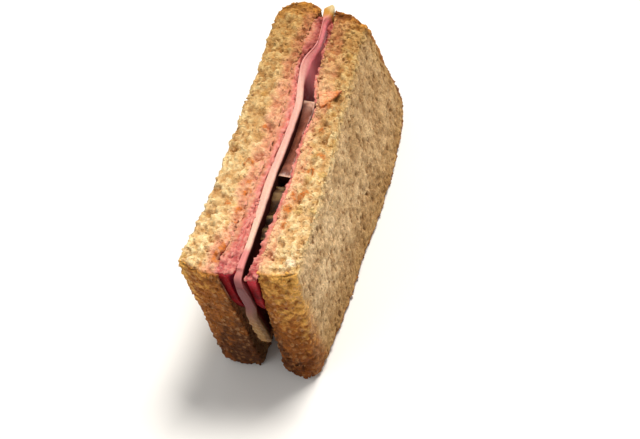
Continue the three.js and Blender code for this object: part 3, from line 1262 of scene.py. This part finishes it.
        torn_place = noise.warp(points, 3.0, 1.2)
        fine_place = noise.warp(points + 40, 1.6, 0.5)
        lump = noise.lumps(torn_place, 2.5)
        grain = noise.lumps(fine_place, 1.25)
        ridge = 1 - 2 * np.abs(noise.rough(points + 60, 2.6))
        torn = noise.pits(torn_place, 3.4, 0.5, 0.42)
        nick = noise.pits(fine_place, 1.6, 0.5, 0.42)
        knot = noise.lumps(noise.warp(points + 70, 5.0, 2.0), 5.0)
        open_crumb = 2.0 * (knot - 0.5) + 1.7 * (lump - 0.5) + 1.2 * (grain - 0.5) + 0.6 * (ridge - 0.4)
        open_crumb += 0.5 * wander - 1.6 * torn - 0.9 * nick
        upright = np.array([3.0, 2.6, 4.4])
        drawn = noise.warp(points + 20, 2.4, 0.5)
        pore = noise.pits(drawn, upright, 0.8, 0.28)
        fine_pore = noise.pits(drawn, upright * 0.55, 0.6, 0.31)
        pillow = noise.lumps(drawn, upright * 0.8)
        close_crumb = 0.95 * (pillow - 0.55) + 0.5 * (grain - 0.5) + 0.3 * ragged
        close_crumb -= 1.0 * pore + 0.5 * fine_pore
        kernel = noise.lumps(noise.warp(points, 2.4, 0.8), 2.2)
        hole = noise.pits(torn_place + 30, 2.8, 0.4, 0.36)
        rind = 0.9 * (kernel - 0.5) + 0.6 * (grain - 0.5) + 0.3 * ragged - 0.9 * hole
        seep = self._seep(points, ragged) * cut
        # Painted shade: a dark red tint on the cut next to the filling towards the far end.
        dusk = 0.16 * step(points[:, 1] + 3 * wander, 22, 44) * step(inner + 0.1 * ragged, 0.75, 1.0) * cut
        settled = 1 - 0.55 * step(inner, 0.84, 0.97)
        open_crumb *= mix(0.55, 1.0, step(inner * SLICE_THICKNESS, 0.0, 2.5))
        relief = cut * settled * open_crumb * (1 - 0.5 * crust) + face * close_crumb + crust_relief * rind
        relief -= 1.1 * seep + edge * (0.3 + 0.9 * ragged + 0.5 * wander)
        bits = np.zeros(len(points))
        for x, y, reach in self.toasts:
            away = np.hypot(points[:, 0] - x, points[:, 1] - y)
            bits = np.maximum(bits, 1 - step(away, 0.8 * reach, 1.5 * reach))
        bits *= step(noise.pits(fine_place + 12, 1.9, 0.9, 0.6), 0.0, 0.25) * cut
        relief += 0.5 * bits
        filling = step(np.abs(normals[:, 0]), 0.5, 0.8) * (inner > 0.5)
        relief = np.where(filling > 0.3, np.minimum(relief, 0), relief)
        skin.push(relief)
        skin.points[:, 2] = np.maximum(skin.points[:, 2], 0)

        # Painted shade: the crease mark darkens the creases between lumps on the cut, the crust and the
        # faces.
        crease = step(0.66 - lump, 0, 0.4) * 0.55 + step(0.62 - grain, 0, 0.4) * 0.5
        crease += step(0.56 - knot, 0, 0.4) * 0.4
        crease *= cut * settled
        crease += crust_relief * (step(0.55 - kernel, 0, 0.35) * 0.6 + step(0.6 - grain, 0, 0.4) * 0.4)
        crease += face * (step(0.62 - pillow, 0, 0.4) * 0.5 + step(0.55 - grain, 0, 0.4) * 0.35)
        spread = inner + 0.22 * wander + 0.13 * ragged + self.stain_far * step(points[:, 1], 8, 20)
        stain = 0.75 * step(spread, self.stain_from, self.stain_from + 0.35)
        stain += 0.25 * step(inner + 0.05 * ragged, 0.86, 0.99)
        stain *= self.stain_depth
        torn_cut = np.maximum(cut, 1 - step(below + 1.8 * ragged + 1.4 * wander, 0.2, 4.6))
        fading = step(spread, self.stain_from - 0.12, self.stain_from + 0.1) * (1 - step(inner, 0.8, 0.95))
        patchy = step(noise.rough(points + 5, 9.0), -0.1, 0.4)
        orange = noise.pits(torn_place + 55, 2.6, 0.55, 0.4) * fading * patchy
        orange = np.maximum(orange, bits)
        pale = sum((1 - step(np.hypot(points[:, 0] - x, points[:, 1] - y) + 0.6 * ragged, 0.2 * r, r)
                    for x, y, r in self.smears), np.zeros(len(points)))
        clean = 1 - 0.5 * cut * step(inner, 0.35, 0.8) * step(ends["far"], 20, 42)
        # Painted shade: the hollows and pores are marked to be painted darker.
        hollow = cut * (0.8 * torn + 0.6 * nick) + face * (pore + 0.8 * fine_pore) + crust * 0.7 * hole
        skin.marks = {
            "cut": torn_cut,
            "crust": np.clip(crust, 0, 1),
            "pore": np.clip(hollow, 0, 1),
            "crease": np.clip(crease, 0, 1),
            "stain": stain * np.maximum(cut, 0.75 * filling * (1 - heel)),
            "toasting": self._toasting(points, inner, ends["far"]),
            "orange": np.clip(orange, 0, 1) * cut,
            "smear": np.clip(pale, 0, 1) * cut,
            "seep": np.maximum(np.maximum(seep, dusk), self._spot(points)),
            "seam": cut * step(inner, 0.9, 0.97),
            # Painted shade: darker towards the far end and the base.
            "tan": np.maximum.reduce([
                (1 - step(ends["far"] + 4 * wander, 0, 110)) * mix(0.6, 1.0, torn_cut) * clean,
                1 - step(ends["base"] + 3 * wander, 1, 34),
                1 - step(ends["far"] + 3 * wander, 2, 19),
            ]),
        }

    def _toasting(self, points: Array, inner: Array, from_far: Array) -> Array:
        """How much darker the crust is painted: toasting, with painted shade towards the filling and painted
        light along its outer rim.

        Args:
            points: the skin's points.
            inner: share through the slice from its outer face to the filling.
            from_far: distance from the far end.

        Returns:
            The amount that is added to the crust's own toasting.
        """
        middle = step(points[:, 2], 2, 12) * (1 - step(points[:, 2], 44, 56))
        rim = 1 - step(SLICE_THICKNESS * inner, 0, 3.5)
        far = 1 - step(from_far, 4, 20)
        # Painted shade towards the filling and painted light along the outer rim.
        toasted = self.toasting + 0.12 * middle + 0.15 * step(inner, 0.4, 0.9) - 0.25 * rim
        return toasted + self.far_toasting * far

    def _seep(self, points: Array, ragged: Array) -> Array:
        """Marks the dark red cracks.

        Args:
            points: the skin's points.
            ragged: small unevenness of each point.

        Returns:
            1 on the cracks' lines, fading raggedly to 0 within about a millimetre.
        """
        marked = np.zeros(len(points))
        for line in self.seeps:
            marked = np.maximum(marked, 1 - step(stroke(points, line) + 0.4 * ragged, 0.2, 0.9))
        return marked

    def _spot(self, points: Array) -> Array:
        """Marks the dark red spots on the near end's crust.

        Args:
            points: the skin's points.

        Returns:
            1 in the spots' middles, falling to 0 at their radius.
        """
        marked = np.zeros(len(points))
        for x, z, reach in self.near_spots:
            away = np.hypot(points[:, 0] - x, points[:, 2] - z)
            marked = np.maximum(marked, (1 - step(away, 0.4 * reach, reach)) * (points[:, 1] < -45))
        return marked

    def crumbs(self, skin: Skin) -> Skin:
        """Scatters torn crumbs over the cut, the crust and the edges between them.

        Args:
            skin: the finished slice.

        Returns:
            The crumbs as one skin, with their seats' marks.
        """
        rng = np.random.default_rng(self.seed)
        cut, crust, seam = (skin.marks[name] for name in ("cut", "crust", "seam"))
        rim = 4 * cut * (1 - cut)
        chance = 0.045 * cut + 0.045 * np.clip(crust - cut, 0, 1) + 0.05 * rim + 0.15 * seam
        chance *= 1 - 0.9 * skin.marks["pore"]
        for place in self.litter:
            chance = np.maximum(chance, 0.7 * (np.linalg.norm(skin.points - place, axis=1) < 1.1))
        seats = np.flatnonzero(rng.random(len(cut)) < chance)
        return Swarm(self.seed + 1).scatter(skin, seats, (0.4, 1.05), 0.5, 0.45)

    def flakes(self, skin: Skin) -> Skin:
        """Scatters bran flakes over every side but the filling's.

        Args:
            skin: the finished slice.

        Returns:
            The flakes as one skin.
        """
        rng = np.random.default_rng(self.seed + 5)
        chance = 0.0035 * (1 - 0.7 * skin.marks["stain"])
        seats = np.flatnonzero(rng.random(len(chance)) < chance)
        return Swarm(self.seed + 2).scatter(skin, seats, (0.3, 0.6), 0.22, 0.1)

    def dress(self, bread: bpy.types.Material, bran: bpy.types.Material) -> None:
        """Makes the slice, its crumbs and its flakes, and lets the slice stand for its CAD node.

        Args:
            bread: the bread's finish.
            bran: the flakes' finish.
        """
        skin = self.build()
        piece = skin.to_object(f"{self.node}_slice", bread, Slot.BREAD)
        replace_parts(piece, self.node)
        self.crumbs(skin).to_object(f"{self.node}_crumbs", bread, Slot.BREAD)
        self.flakes(skin).to_object(f"{self.node}_bran", bran, Slot.BREAD)


# ---- The filling --------------------------------------------------------------------------------------


@dataclass
class SalamiSlice:
    """A salami slice, flush with the cut and round below, with a nubby cut edge."""

    node: str
    side: Side
    low: Surface
    high: Surface
    top_near: float
    top_far: float
    depth: float
    seed: int
    close_low: float  # how far the cut edge spreads over the gap on its low side
    close_high: float  # and on its high side
    swell_near: float = 0.0  # how far the near end bulges over its low side
    near_round: float = 0.3
    near_fall: float = 0.0  # how far the cut edge falls away at the near end
    rim: float = 2.6
    near: float = -55.5
    far: float = 53.2
    roundness: float = 3.2
    grid: Lattice = Lattice(250, 50, 10, 0.5)

    def build(self) -> Skin:
        """Builds the slice's skin.

        Returns:
            The slab inside its round outline, with nubs on its cut and soft waves on its faces. The
            outline's depth at a share s of half its length is the root of 1 less s to a power.
        """
        spots, quads = self.grid.build()
        t, u, v = spots.T
        side = DISC_SHARE * (2 * u - 1)
        y = mix(self.near, self.far, (side + 1) / 2)
        reach = (1 - np.abs(side) ** self.roundness) ** (1 / self.roundness)
        below = (1 - v) * self.depth * reach
        z = mix(self.top_near, self.top_far, u) - 0.2 + 0.35 * swell(3 * y, np.full_like(y, 5)) - below
        z -= self.near_fall * (1 - step(y - self.near, -0.8, 3.2)) * step(v, 0.6, 1)
        from_end = y - np.where(z > 30, self.near, -60)
        thickness = self.high(y, z) - self.low(y, z)
        draw = np.minimum(draw_in(below, 0.25), 0.2 * thickness)
        draw += np.minimum(draw_in(from_end, self.near_round), 0.42 * thickness)
        close = 1 - step(below, 0.3, 2.0)
        bulge = self.swell_near * (1 - step(from_end, 0.5, 5.0)) * step(z, 32, 40)
        low = self.low(y, z) + draw - self.close_low * close - bulge
        high = self.high(y, z) - draw + self.close_high * close
        skin = Skin(np.stack([mix(low, high, t), y, z], axis=1), quads)
        add_nubs(skin, Noise(self.seed), below, self.rim)
        bread_side = t if self.side is Side.RIGHT else 1 - t
        ragged = Noise(self.seed).rough(skin.points, 1.8)
        skin.marks["fade"] = skin.marks["cut"] * step(bread_side + 0.45 * ragged, 0.2, 0.8)
        skin.marks["fade"] *= step(y + 2 * ragged, -52, -45)
        # Painted shade: the cut is darker towards the far end, less where it fades into the bread.
        skin.marks["deep"] = step(y + 3 * ragged, 20, 44) * (1 - 0.85 * skin.marks["fade"])
        skin.marks["purple"] = np.zeros(len(y))
        return skin

    def dress(self, salami: bpy.types.Material) -> None:
        """Makes the piece and lets it stand for its CAD node."""
        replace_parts(self.build().to_object(f"{self.node}_slice", salami, Slot.SALAMI), self.node)


def add_nubs(skin: Skin, noise: Noise, below: Array, rim: float) -> None:
    """Raises nubs on a salami's cut and paints its cut mark, the painted shade in its creases, and the red
    rim of painted light.

    Args:
        skin: the smooth slab.
        noise: the piece's unevenness.
        below: distance of each point below the cut.
        rim: how far down the near end the bright red rim of painted light reaches.
    """
    normals = skin.normals()
    top = step(normals[:, 2], 0.3, 0.7)
    ragged = noise.rough(skin.points, 2.0)
    cut = np.maximum(top, 1 - step(below + 0.5 * ragged, 0.2, 1.2))
    nub = noise.lumps(noise.warp(skin.points, 1.6, 0.4), 1.15)
    fine = noise.lumps(skin.points + 15, 0.6)
    lump = noise.lumps(noise.warp(skin.points + 7, 3.0, 1.0), 2.4)
    pit = noise.pits(noise.warp(skin.points + 25, 2.0, 0.8), 2.2, 0.5, 0.42)
    nubs = 1.3 * (lump - 0.5) + 1.0 * (nub - 0.5) + 0.3 * (fine - 0.5) - 0.8 * pit
    skin.push(cut * nubs + (1 - cut) * 0.07 * noise.rough(skin.points, 1.5))
    end = step(-normals[:, 1], 0.3, 0.7)
    # Painted shade in the creases between nubs and in the pits.
    crease = 0.6 * step(0.62 - nub, 0, 0.35) + 0.6 * step(0.6 - lump, 0, 0.4) + 0.4 * step(0.6 - fine, 0, 0.4)
    crease += 0.7 * pit
    skin.marks = {
        "cut": cut,
        "crease": np.clip(crease, 0, 1),
        "raw": 1 - step(skin.points[:, 1] + 3 * ragged, -49, -41),
        # Painted light: the top of the near end is painted brighter red.
        "rim": end * (1 - step(below + 0.5 * ragged, 0.4 * rim, rim)) * step(below + 0.5 * ragged, 0.2, 1.0),
    }


@dataclass
class SalamiFold:
    """A second, folded salami slice beside the left one: a tongue that is deepest at the near end."""

    node: str = "salami_fold"
    near: float = -55.2
    far: float = -26.0
    slant: float = 2.0
    depth_near: float = 14.5
    depth_far: float = 8.0
    seed: int = 23
    grid: Lattice = Lattice(80, 60, 16, 0.4)

    def build(self) -> Skin:
        """Builds the fold's skin.

        Returns:
            The tongue, with nubs on its cut and a groove along the middle where its two plies meet.
        """
        spots, quads = self.grid.build()
        t, u, v = spots.T
        y = mix(self.near + self.slant * t, self.far, u)
        top = mix(58.4, 55.6, (y + 54) / 108) - 0.3
        below = (1 - v) * mix(self.depth_near, self.depth_far, step(u, 0, 1))
        z = top + 0.3 * swell(4 * y, np.full_like(y, 2)) - below
        close = 0.5 * (1 - step(below, 0.5, 2.0))
        low, high = Layers.fold_low(y, z) - close, Layers.fold_high(y, z) + close
        end = draw_in(y - (self.near + self.slant * t), 0.6)
        draw = np.minimum(draw_in(below, 0.3) + end, 0.3 * (high - low))
        skin = Skin(np.stack([mix(low + draw, high - draw, t), y, z], axis=1), quads)
        noise = Noise(self.seed)
        normals = skin.normals()
        groove = np.exp(-(((t - 0.52 - 0.08 * np.sin(y / 3)) / 0.12) ** 2)) * step(y, -52, -44)
        exposed = np.maximum(step(normals[:, 2], 0.3, 0.7), step(-normals[:, 1], 0.3, 0.7))
        skin.push(-0.3 * groove * exposed)
        add_nubs(skin, noise, below, 2.6)
        # Painted shade in the groove where the plies meet.
        skin.marks["crease"] = np.clip(skin.marks["crease"] + groove, 0, 1)
        skin.marks["fade"] = skin.marks["deep"] = np.zeros(len(y))
        # Painted shade on the faces towards the cheese.
        skin.marks["purple"] = 0.9 * (1 - skin.marks["cut"]) * step(t, 0.0, 0.5)
        return skin

    def dress(self, salami: bpy.types.Material) -> None:
        """Makes the piece and lets it stand for its CAD node."""
        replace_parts(self.build().to_object("salami_fold_slice", salami, Slot.SALAMI), self.node)


@dataclass
class CheeseSlice:
    """The cheese slice: its foot hangs in the pocket, its near top corner is worn, its far one sticks out."""

    node: str = "cheese"
    foot: float = 18.0
    near: float = -57.0
    near_at_cut: float = -51.6
    far: float = 52.6
    ear: float = 5.4
    seed: int = 31
    grid: Lattice = Lattice(240, 90, 10, 0.4)

    def build(self) -> Skin:
        """Builds the cheese's skin.

        Returns:
            The nearly square sheet with softened edges, low waves, and lumps on its near edge.
        """
        spots, quads = self.grid.build()
        t, u, v = spots.T
        ear = self.ear * step(v, 0.8, 1) * step(u, 0.8, 1)
        ear *= mix(0.7, 1.0, t)
        near = mix(self.near, self.near_at_cut, step(v, 0.9, 1)) + 0.5 * swell(20 * v, np.full_like(v, 3))
        y = mix(near, self.far, u) + ear
        top = mix(57.8, 55.3, u) - 0.9 * np.exp(-(((y - 34) / 7) ** 2)) + 0.2 * ear
        z = mix(self.foot + 1.2 * swell(2 * y, np.full_like(y, 11)), top, v)
        low, high = Layers.cheese_low(y, z), Layers.cheese_high(y, z)
        at_near = 1 - step(y, -56.5, -51)
        bent = at_near * step(z, 51, 56)
        low = low - 1.1 * bent - 0.5 * step(y, 50, 54)
        high += 1.3 * step(y, 50, 54) - 0.75 * step(-y, 22, 42) * step(top - z, 10, 2) - 0.8 * bent
        high += at_near * (0.7 * (1 - step(z, 50, 55)) + 0.7 * (1 - step(z, 24, 42)))
        edge = np.minimum(np.minimum((1 - v), v) * 38, np.minimum(u, 1 - u) * 109)
        thin = step(y, 19, 31) * (1 - step(y, 50, 53))
        draw = np.minimum(draw_in(edge, mix(1.0, 3.2, thin)), mix(0.36, 0.66, thin) * (high - low))
        low = low + mix(0.3, 0.1, thin) * draw
        skin = Skin(np.stack([mix(low, high - draw, t), y, z], axis=1), quads)
        noise = Noise(self.seed)
        normals = skin.normals()
        end = step(-normals[:, 1], 0.3, 0.7)
        lump = noise.lumps(skin.points, 1.6)
        end = np.maximum(end, step(-normals[:, 0], 0.3, 0.7) * (1 - step(y - near, 0.5, 3)))
        skin.push(0.06 * noise.rough(skin.points, 4.0) + end * step(36 - z, 0, 8) * 1.5 * (lump - 0.5))
        wander = noise.rough(skin.points, 5.0)
        inside = step(normals[:, 0], 0.2, 0.7) * step(top - z + 0.5 * wander, 0.3, 1.1)
        skin.marks = {
            "cut": np.maximum(step(normals[:, 2], 0.2, 0.7), 1 - step(top - z + 0.5 * wander, 0.3, 1.2)),
            "rosy": np.maximum(1 - step(y + wander, -46.0, -43.5), step(y + 3 * wander, 22, 42)),
            # Painted shade on the face in the pocket: nearly black beside the pickles, deep crimson further
            # along.
            "juice": inside * step(y, -56, -50) * (1 - step(y + 2 * wander, 12, 21)),
            "wine": inside * (1 - step(y + wander, 22, 35)),
            "corner": step(y + 2 * wander, 50.5, 54.5) * step(z, 40, 46),
            "tip": step(y + 2 * t + wander, 56.0, 58.5) * step(z, 40, 46),
            # Painted shade on the near end's face.
            "strip": (1 - step(y + 0.8 * wander, -55.8, -53.0)) * (1 - step(z, 56, 57.4)),
            "shade": (1 - step(y, -56, -52)) * step(t, 0.5, 1.0) * (1 - step(z, 34, 50)),
        }
        return skin

    def dress(self, cheese: bpy.types.Material) -> None:
        """Makes the piece and lets it stand for its CAD node."""
        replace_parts(self.build().to_object("cheese_slice", cheese, Slot.CHEESE), self.node)


@dataclass
class PickleSlice:
    """A pickle slice on edge in the pocket: a disc whose top was cut off almost level."""

    node: str
    middle: float
    length: float
    top: float
    sag: float
    ribs: float
    tilt: float
    depth: float
    seed: int
    grid: Lattice = Lattice(110, 44, 20, 0.4)

    def build(self) -> Skin:
        """Builds the slice's skin.

        Returns:
            The disc that fills the pocket's width, with its sag or ribs and a wet, uneven top. Its
            depth at a share s of half its length is the root of 1 less s squared.
        """
        spots, quads = self.grid.build()
        t, u, v = spots.T
        side = DISC_SHARE * (2 * u - 1)
        y = self.middle + side * self.length / 2
        round_off = 1 - side**2
        fall = self.sag * (1.35 - t) * round_off + 5 * np.clip(np.abs(side) - 0.86, 0, 1) ** 1.5
        drift = Noise(self.seed + 9).rough(np.stack([0.3 * t, y, 0 * y], axis=1), 7.0)
        rib = np.cos(0.95 * (y + 30) + 2.5 * drift)
        z = self.top - fall + self.ribs * rib + self.tilt * (t - 0.5)
        below = (1 - v) * (self.depth * np.sqrt(round_off) + 1)
        z = z - below
        low, high = Layers.pickle_low(y, z), Layers.pickle_high(y, z) + 0.7 * (1 - step(below, 0, 4))
        draw = np.minimum(draw_in(below, 0.7), 0.35 * (high - low))
        skin = Skin(np.stack([mix(low + draw, high - draw, t), y, z], axis=1), quads)
        noise = Noise(self.seed)
        top = step(skin.normals()[:, 2], 0.3, 0.8)
        skin.push(top * (0.35 * noise.rough(skin.points, 3.0) - 0.15))
        # Painted highlights: the rind at the ends and the ribs' crests.
        far_rind = 0.6 * step(side, 0.66, 0.92) * step(t, 0.0, 0.6)
        rind = np.maximum(step(np.abs(side), 0.9, 0.97), far_rind) * 0.8
        skin.marks = {
            "pale": np.clip(rind + (0.6 * step(rib, 0.6, 1.0) if self.ribs else 0), 0, 1) * top,
            "shade": np.maximum(1 - top, 0.45 * (1 - step(t, 0.0, 0.5))),
        }
        return skin

    def dress(self, finish: bpy.types.Material) -> None:
        """Makes the piece and lets it stand for its CAD node."""
        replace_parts(self.build().to_object(f"{self.node}_slice", finish, Slot.PICKLE), self.node)


@dataclass
class TornFlap:
    """A small torn wedge of crumb that lifts off the right slice's cut near its far end."""

    tip: tuple[float, float] = (15.5, 20.9)
    root_far: tuple[float, float] = (6.6, 20.6)
    root_near: tuple[float, float] = (9.4, 13.8)
    floor: float = 55.1
    thickness: float = 1.0
    lift: float = 1.2
    seed: int = 47
    grid: Lattice = Lattice(30, 6, 34, 0.2)

    def build(self) -> Skin:
        """Builds the flap's skin.

        Returns:
            A curled plate: it runs from its root line to its tip as a straight taper, and lifts with
            the square of the way to the tip.
        """
        spots, quads = self.grid.build()
        t, u, v = spots.T
        root = mix(np.array(self.root_near)[:, None], np.array(self.root_far)[:, None], u)
        place = mix(root, np.array(self.tip)[:, None], t * 0.96)
        bow = 0.8 * np.sin(np.pi * u) * (1 - t)
        z = self.floor + self.lift * t**2 + bow + (v - 0.5) * self.thickness * (1 - 0.6 * t)
        skin = Skin(np.stack([place[0], place[1], z], axis=1), quads)
        noise = Noise(self.seed)
        skin.push(0.5 * (noise.lumps(skin.points, 1.3) - 0.5) + 0.15 * noise.rough(skin.points, 0.9))
        count = len(skin.points)
        skin.marks = {
            "cut": np.ones(count),
            "crust": np.zeros(count),
            "orange": 0.4 + 0.5 * np.maximum(step(t, 0.3, 0.9), 1 - step(u, 0.0, 0.3)),
            "pore": np.zeros(count),
            "crease": step(0.6 - noise.lumps(skin.points, 1.3), 0, 0.4),
            "stain": np.full(count, 0.75),
            "smear": np.zeros(count),
            "seep": 0.8 * step(t, 0.6, 0.95) * (1 - step(u, 0.1, 0.5)),
            "toasting": np.zeros(count),
        }
        return skin

    def dress(self, bread: bpy.types.Material) -> None:
        """Makes the piece."""
        self.build().to_object("torn_flap", bread, Slot.BREAD)


# ---- The studio ---------------------------------------------------------------------------------------


@dataclass
class Studio:
    """A plain pale floor, soft light and the camera."""

    aim: Triple = (6.89, -8.88, 21.16)  # millimetres in the CAD model's frame
    azimuth: float = 32.36  # degrees, as the elevation and the roll
    elevation: float = 54.31
    roll: float = -20.66
    distance: float = 484.6  # millimetres, as the lens and the sensor
    lens: float = 78.75
    sensor: float = 36.0
    floor_size: float = 3.0  # metres across
    floor_lines: int = 9  # grid lines each way
    floor_tone: Colour = tone(228, 226, 222)
    world_tone: Colour = (1.0, 0.985, 0.96, 1.0)
    world_strength: float = 0.44

    def build(self) -> None:
        """Makes the floor, the lights, the world and the camera, and sets the plain view transform."""
        self._floor()
        self._light("key", (0.3, 0.55, 1.3), 0.4, 25.0, (1.0, 0.97, 0.93))
        self._light("fill", (-1.0, -1.0, 1.0), 1.2, 6.0, (0.95, 0.97, 1.0))
        world = bpy.data.worlds.new("studio")
        world.use_nodes = True
        world.node_tree.nodes["Background"].inputs["Color"].default_value = self.world_tone
        world.node_tree.nodes["Background"].inputs["Strength"].default_value = self.world_strength
        bpy.context.scene.world = world
        bpy.context.scene.view_settings.view_transform = "Standard"
        self._camera()

    def _floor(self) -> None:
        """Lays the floor as a flat grid at the height of the object's base."""
        lines = self.floor_lines
        edge = np.linspace(-self.floor_size / 2, self.floor_size / 2, lines)
        x, y = np.meshgrid(edge, edge, indexing="ij")
        index = np.arange(lines * lines).reshape(lines, lines)
        faces = np.stack([index[:-1, :-1], index[1:, :-1], index[1:, 1:], index[:-1, 1:]], axis=-1)
        mesh = bpy.data.meshes.new("floor")
        places = np.stack([x, y, np.zeros_like(x)], axis=-1).reshape(-1, 3)
        mesh.from_pydata(places.tolist(), [], faces.reshape(-1, 4).tolist())
        floor = bpy.data.objects.new("floor", mesh)
        bpy.context.scene.collection.objects.link(floor)
        material, _, shader = new_material("floor")
        shader.inputs["Base Color"].default_value = self.floor_tone
        shader.inputs["Roughness"].default_value = 0.8
        mesh.materials.append(material)

    @staticmethod
    def _light(name: str, where: Triple, size: float, power: float, colour: Triple) -> None:
        """Hangs a square soft light that faces the object.

        Args:
            name: the light's name.
            where: its place in metres.
            size: its side in metres.
            power: its power in watts.
            colour: its colour.
        """
        lamp = bpy.data.lights.new(name, "AREA")
        lamp.size, lamp.energy, lamp.color = size, power, colour
        light = bpy.data.objects.new(name, lamp)
        light.location = where
        light.rotation_mode = "QUATERNION"
        light.rotation_quaternion = Vector(where).to_track_quat("Z", "Y")
        bpy.context.scene.collection.objects.link(light)

    def _camera(self) -> None:
        """Sets the camera up on its aim, turned about the view direction by the roll."""
        a, e, r = (math.radians(angle) for angle in (self.azimuth, self.elevation, self.roll))
        back = Vector((math.sin(a) * math.cos(e), -math.cos(a) * math.cos(e), math.sin(e)))
        level = Vector((math.cos(a), math.sin(a), 0))
        upright = back.cross(level)
        right = math.cos(r) * level + math.sin(r) * upright
        up = -math.sin(r) * level + math.cos(r) * upright
        data = bpy.data.cameras.new("camera")
        data.lens, data.sensor_width = self.lens, self.sensor
        data.clip_start, data.clip_end = 0.01, 20
        camera = bpy.data.objects.new("camera", data)
        place = (Vector(self.aim) + back * self.distance) * MILLIMETRE
        turn = Matrix((right, up, back)).transposed().to_4x4()
        camera.matrix_world = Matrix.Translation(place) @ turn
        bpy.context.scene.collection.objects.link(camera)
        bpy.context.scene.camera = camera


# ---- The sandwich -------------------------------------------------------------------------------------


class Sandwich:
    """The whole half sandwich, from its left slice to its right one."""

    def __init__(self) -> None:
        """Sets out the pieces."""
        self.left = BreadSlice(
            node="bread_left",
            side=Side.LEFT,
            low=LEFT_OUTER.x,
            high=LEFT_INNER.x,
            near=EndCrust(-57.6, -52.8, -56.3, 0.6),
            far=EndCrust(56.4, 56.4, 56.2, 3.2),
            height_near=58.4,
            height_far=55.6,
            seed=3,
            stain_from=0.48,
            # The left crust is painted darker as shade.
            toasting=0.24,
            far_toasting=-0.35,
            toasts=(
                (-4.8, -24.0, 1.5), (-4.9, -31.0, 1.6), (-5.0, -36.5, 1.3), (-7.6, -12.5, 1.7),
                (-7.0, 3.0, 0.8), (-7.1, -50.0, 1.6), (-6.7, -48.2, 1.8), (-6.1, -46.2, 1.6),
                (-5.6, -44.2, 1.4), (-5.2, -42.0, 1.2), (-10.0, -28.5, 1.1), (-5.4, -19.5, 1.0),
            ),
            litter=((-4.3, -56.4, 43.6), (-3.6, -56.0, 42.4)),
            seeps=(
                ((-4.2, -35.0), (-4.6, -38.7)),
                ((-4.2, -41.5), (-4.7, -44.5), (-5.2, -46.5)),
                ((-5.6, -47.5), (-6.4, -49.9)),
            ),
        )
        self.right = BreadSlice(
            node="bread_right",
            side=Side.RIGHT,
            far_toasting=0.25,
            stain_far=0.25,
            low=RIGHT_INNER.x,
            high=RIGHT_OUTER.x,
            near=EndCrust(-59.2, -52.9, -51.6, 1.0),
            far=EndCrust(58.2, 57.2, 53.4, 1.2),
            height_near=57.6,
            height_far=54.0,
            seed=8,
            stain_from=0.5,
            stain_depth=0.72,
            smears=((16.6, -47.4, 2.6),),
            near_spots=((13.4, 40.7, 0.8),),
            toasts=(
                (11.7, -22.0, 1.9), (14.4, -20.8, 2.1), (16.2, -21.6, 1.3), (13.4, -12.5, 1.5),
                (15.4, -6.4, 1.2), (12.4, 5.0, 1.1), (12.2, 14.5, 1.5), (10.2, -28.0, 1.5),
                (11.2, -34.5, 1.2),
            ),
        )
        self.salami_left = SalamiSlice(
            "salami_left", Side.LEFT, Layers.salami_left_low, Layers.salami_left_fill,
            58.4, 55.6, 44.0, seed=13, close_low=0.5, close_high=0.5, near_round=0.5,
        )
        self.salami_right = SalamiSlice(
            "salami_right", Side.RIGHT, Layers.salami_right_low, Layers.salami_right_high,
            57.6, 54.0, 42.0, seed=17, close_low=0.2, close_high=0.6, swell_near=0.9, near_round=1.8,
            near_fall=1.8, rim=8.0,
        )
        self.fold = SalamiFold()
        self.cheese = CheeseSlice()
        self.pickle_far = PickleSlice("pickle_far", 0.3, 31.5, 56.2, 1.4, 0.0, -0.4, 18.0, seed=37)
        self.pickle_near = PickleSlice("pickle_near", -28.6, 20.5, 55.4, 0.6, 0.7, 0.2, 16.0, seed=41)
        self.flap = TornFlap()

    def dress(self) -> None:
        """Builds every piece with its finish."""
        effects = Effects()
        bread = BreadFinish().make(effects)
        bran = BranFinish().make(effects)
        salami = SalamiFinish().make(effects)
        cheese = CheeseFinish().make(effects)
        brown = PickleFinish(
            "pickle_brown", flesh=tone(140, 80, 58), deep=tone(92, 42, 26), pale=tone(222, 172, 142), wet=0.2
        ).make(effects)
        olive = PickleFinish(
            "pickle_olive", flesh=tone(72, 44, 18), deep=tone(28, 14, 4), pale=tone(140, 108, 66), wet=0.15
        ).make(effects)
        self.left.dress(bread, bran)
        self.right.dress(bread, bran)
        self.salami_left.dress(salami)
        self.salami_right.dress(salami)
        self.fold.dress(salami)
        self.cheese.dress(cheese)
        self.pickle_far.dress(brown)
        self.pickle_near.dress(olive)
        self.flap.dress(bread)


def main() -> None:
    """Builds the studio and the sandwich."""
    logging.basicConfig(level=logging.INFO, format="%(name)s: %(message)s")
    Studio().build()
    Sandwich().dress()


if __name__ == "__main__":
    main()
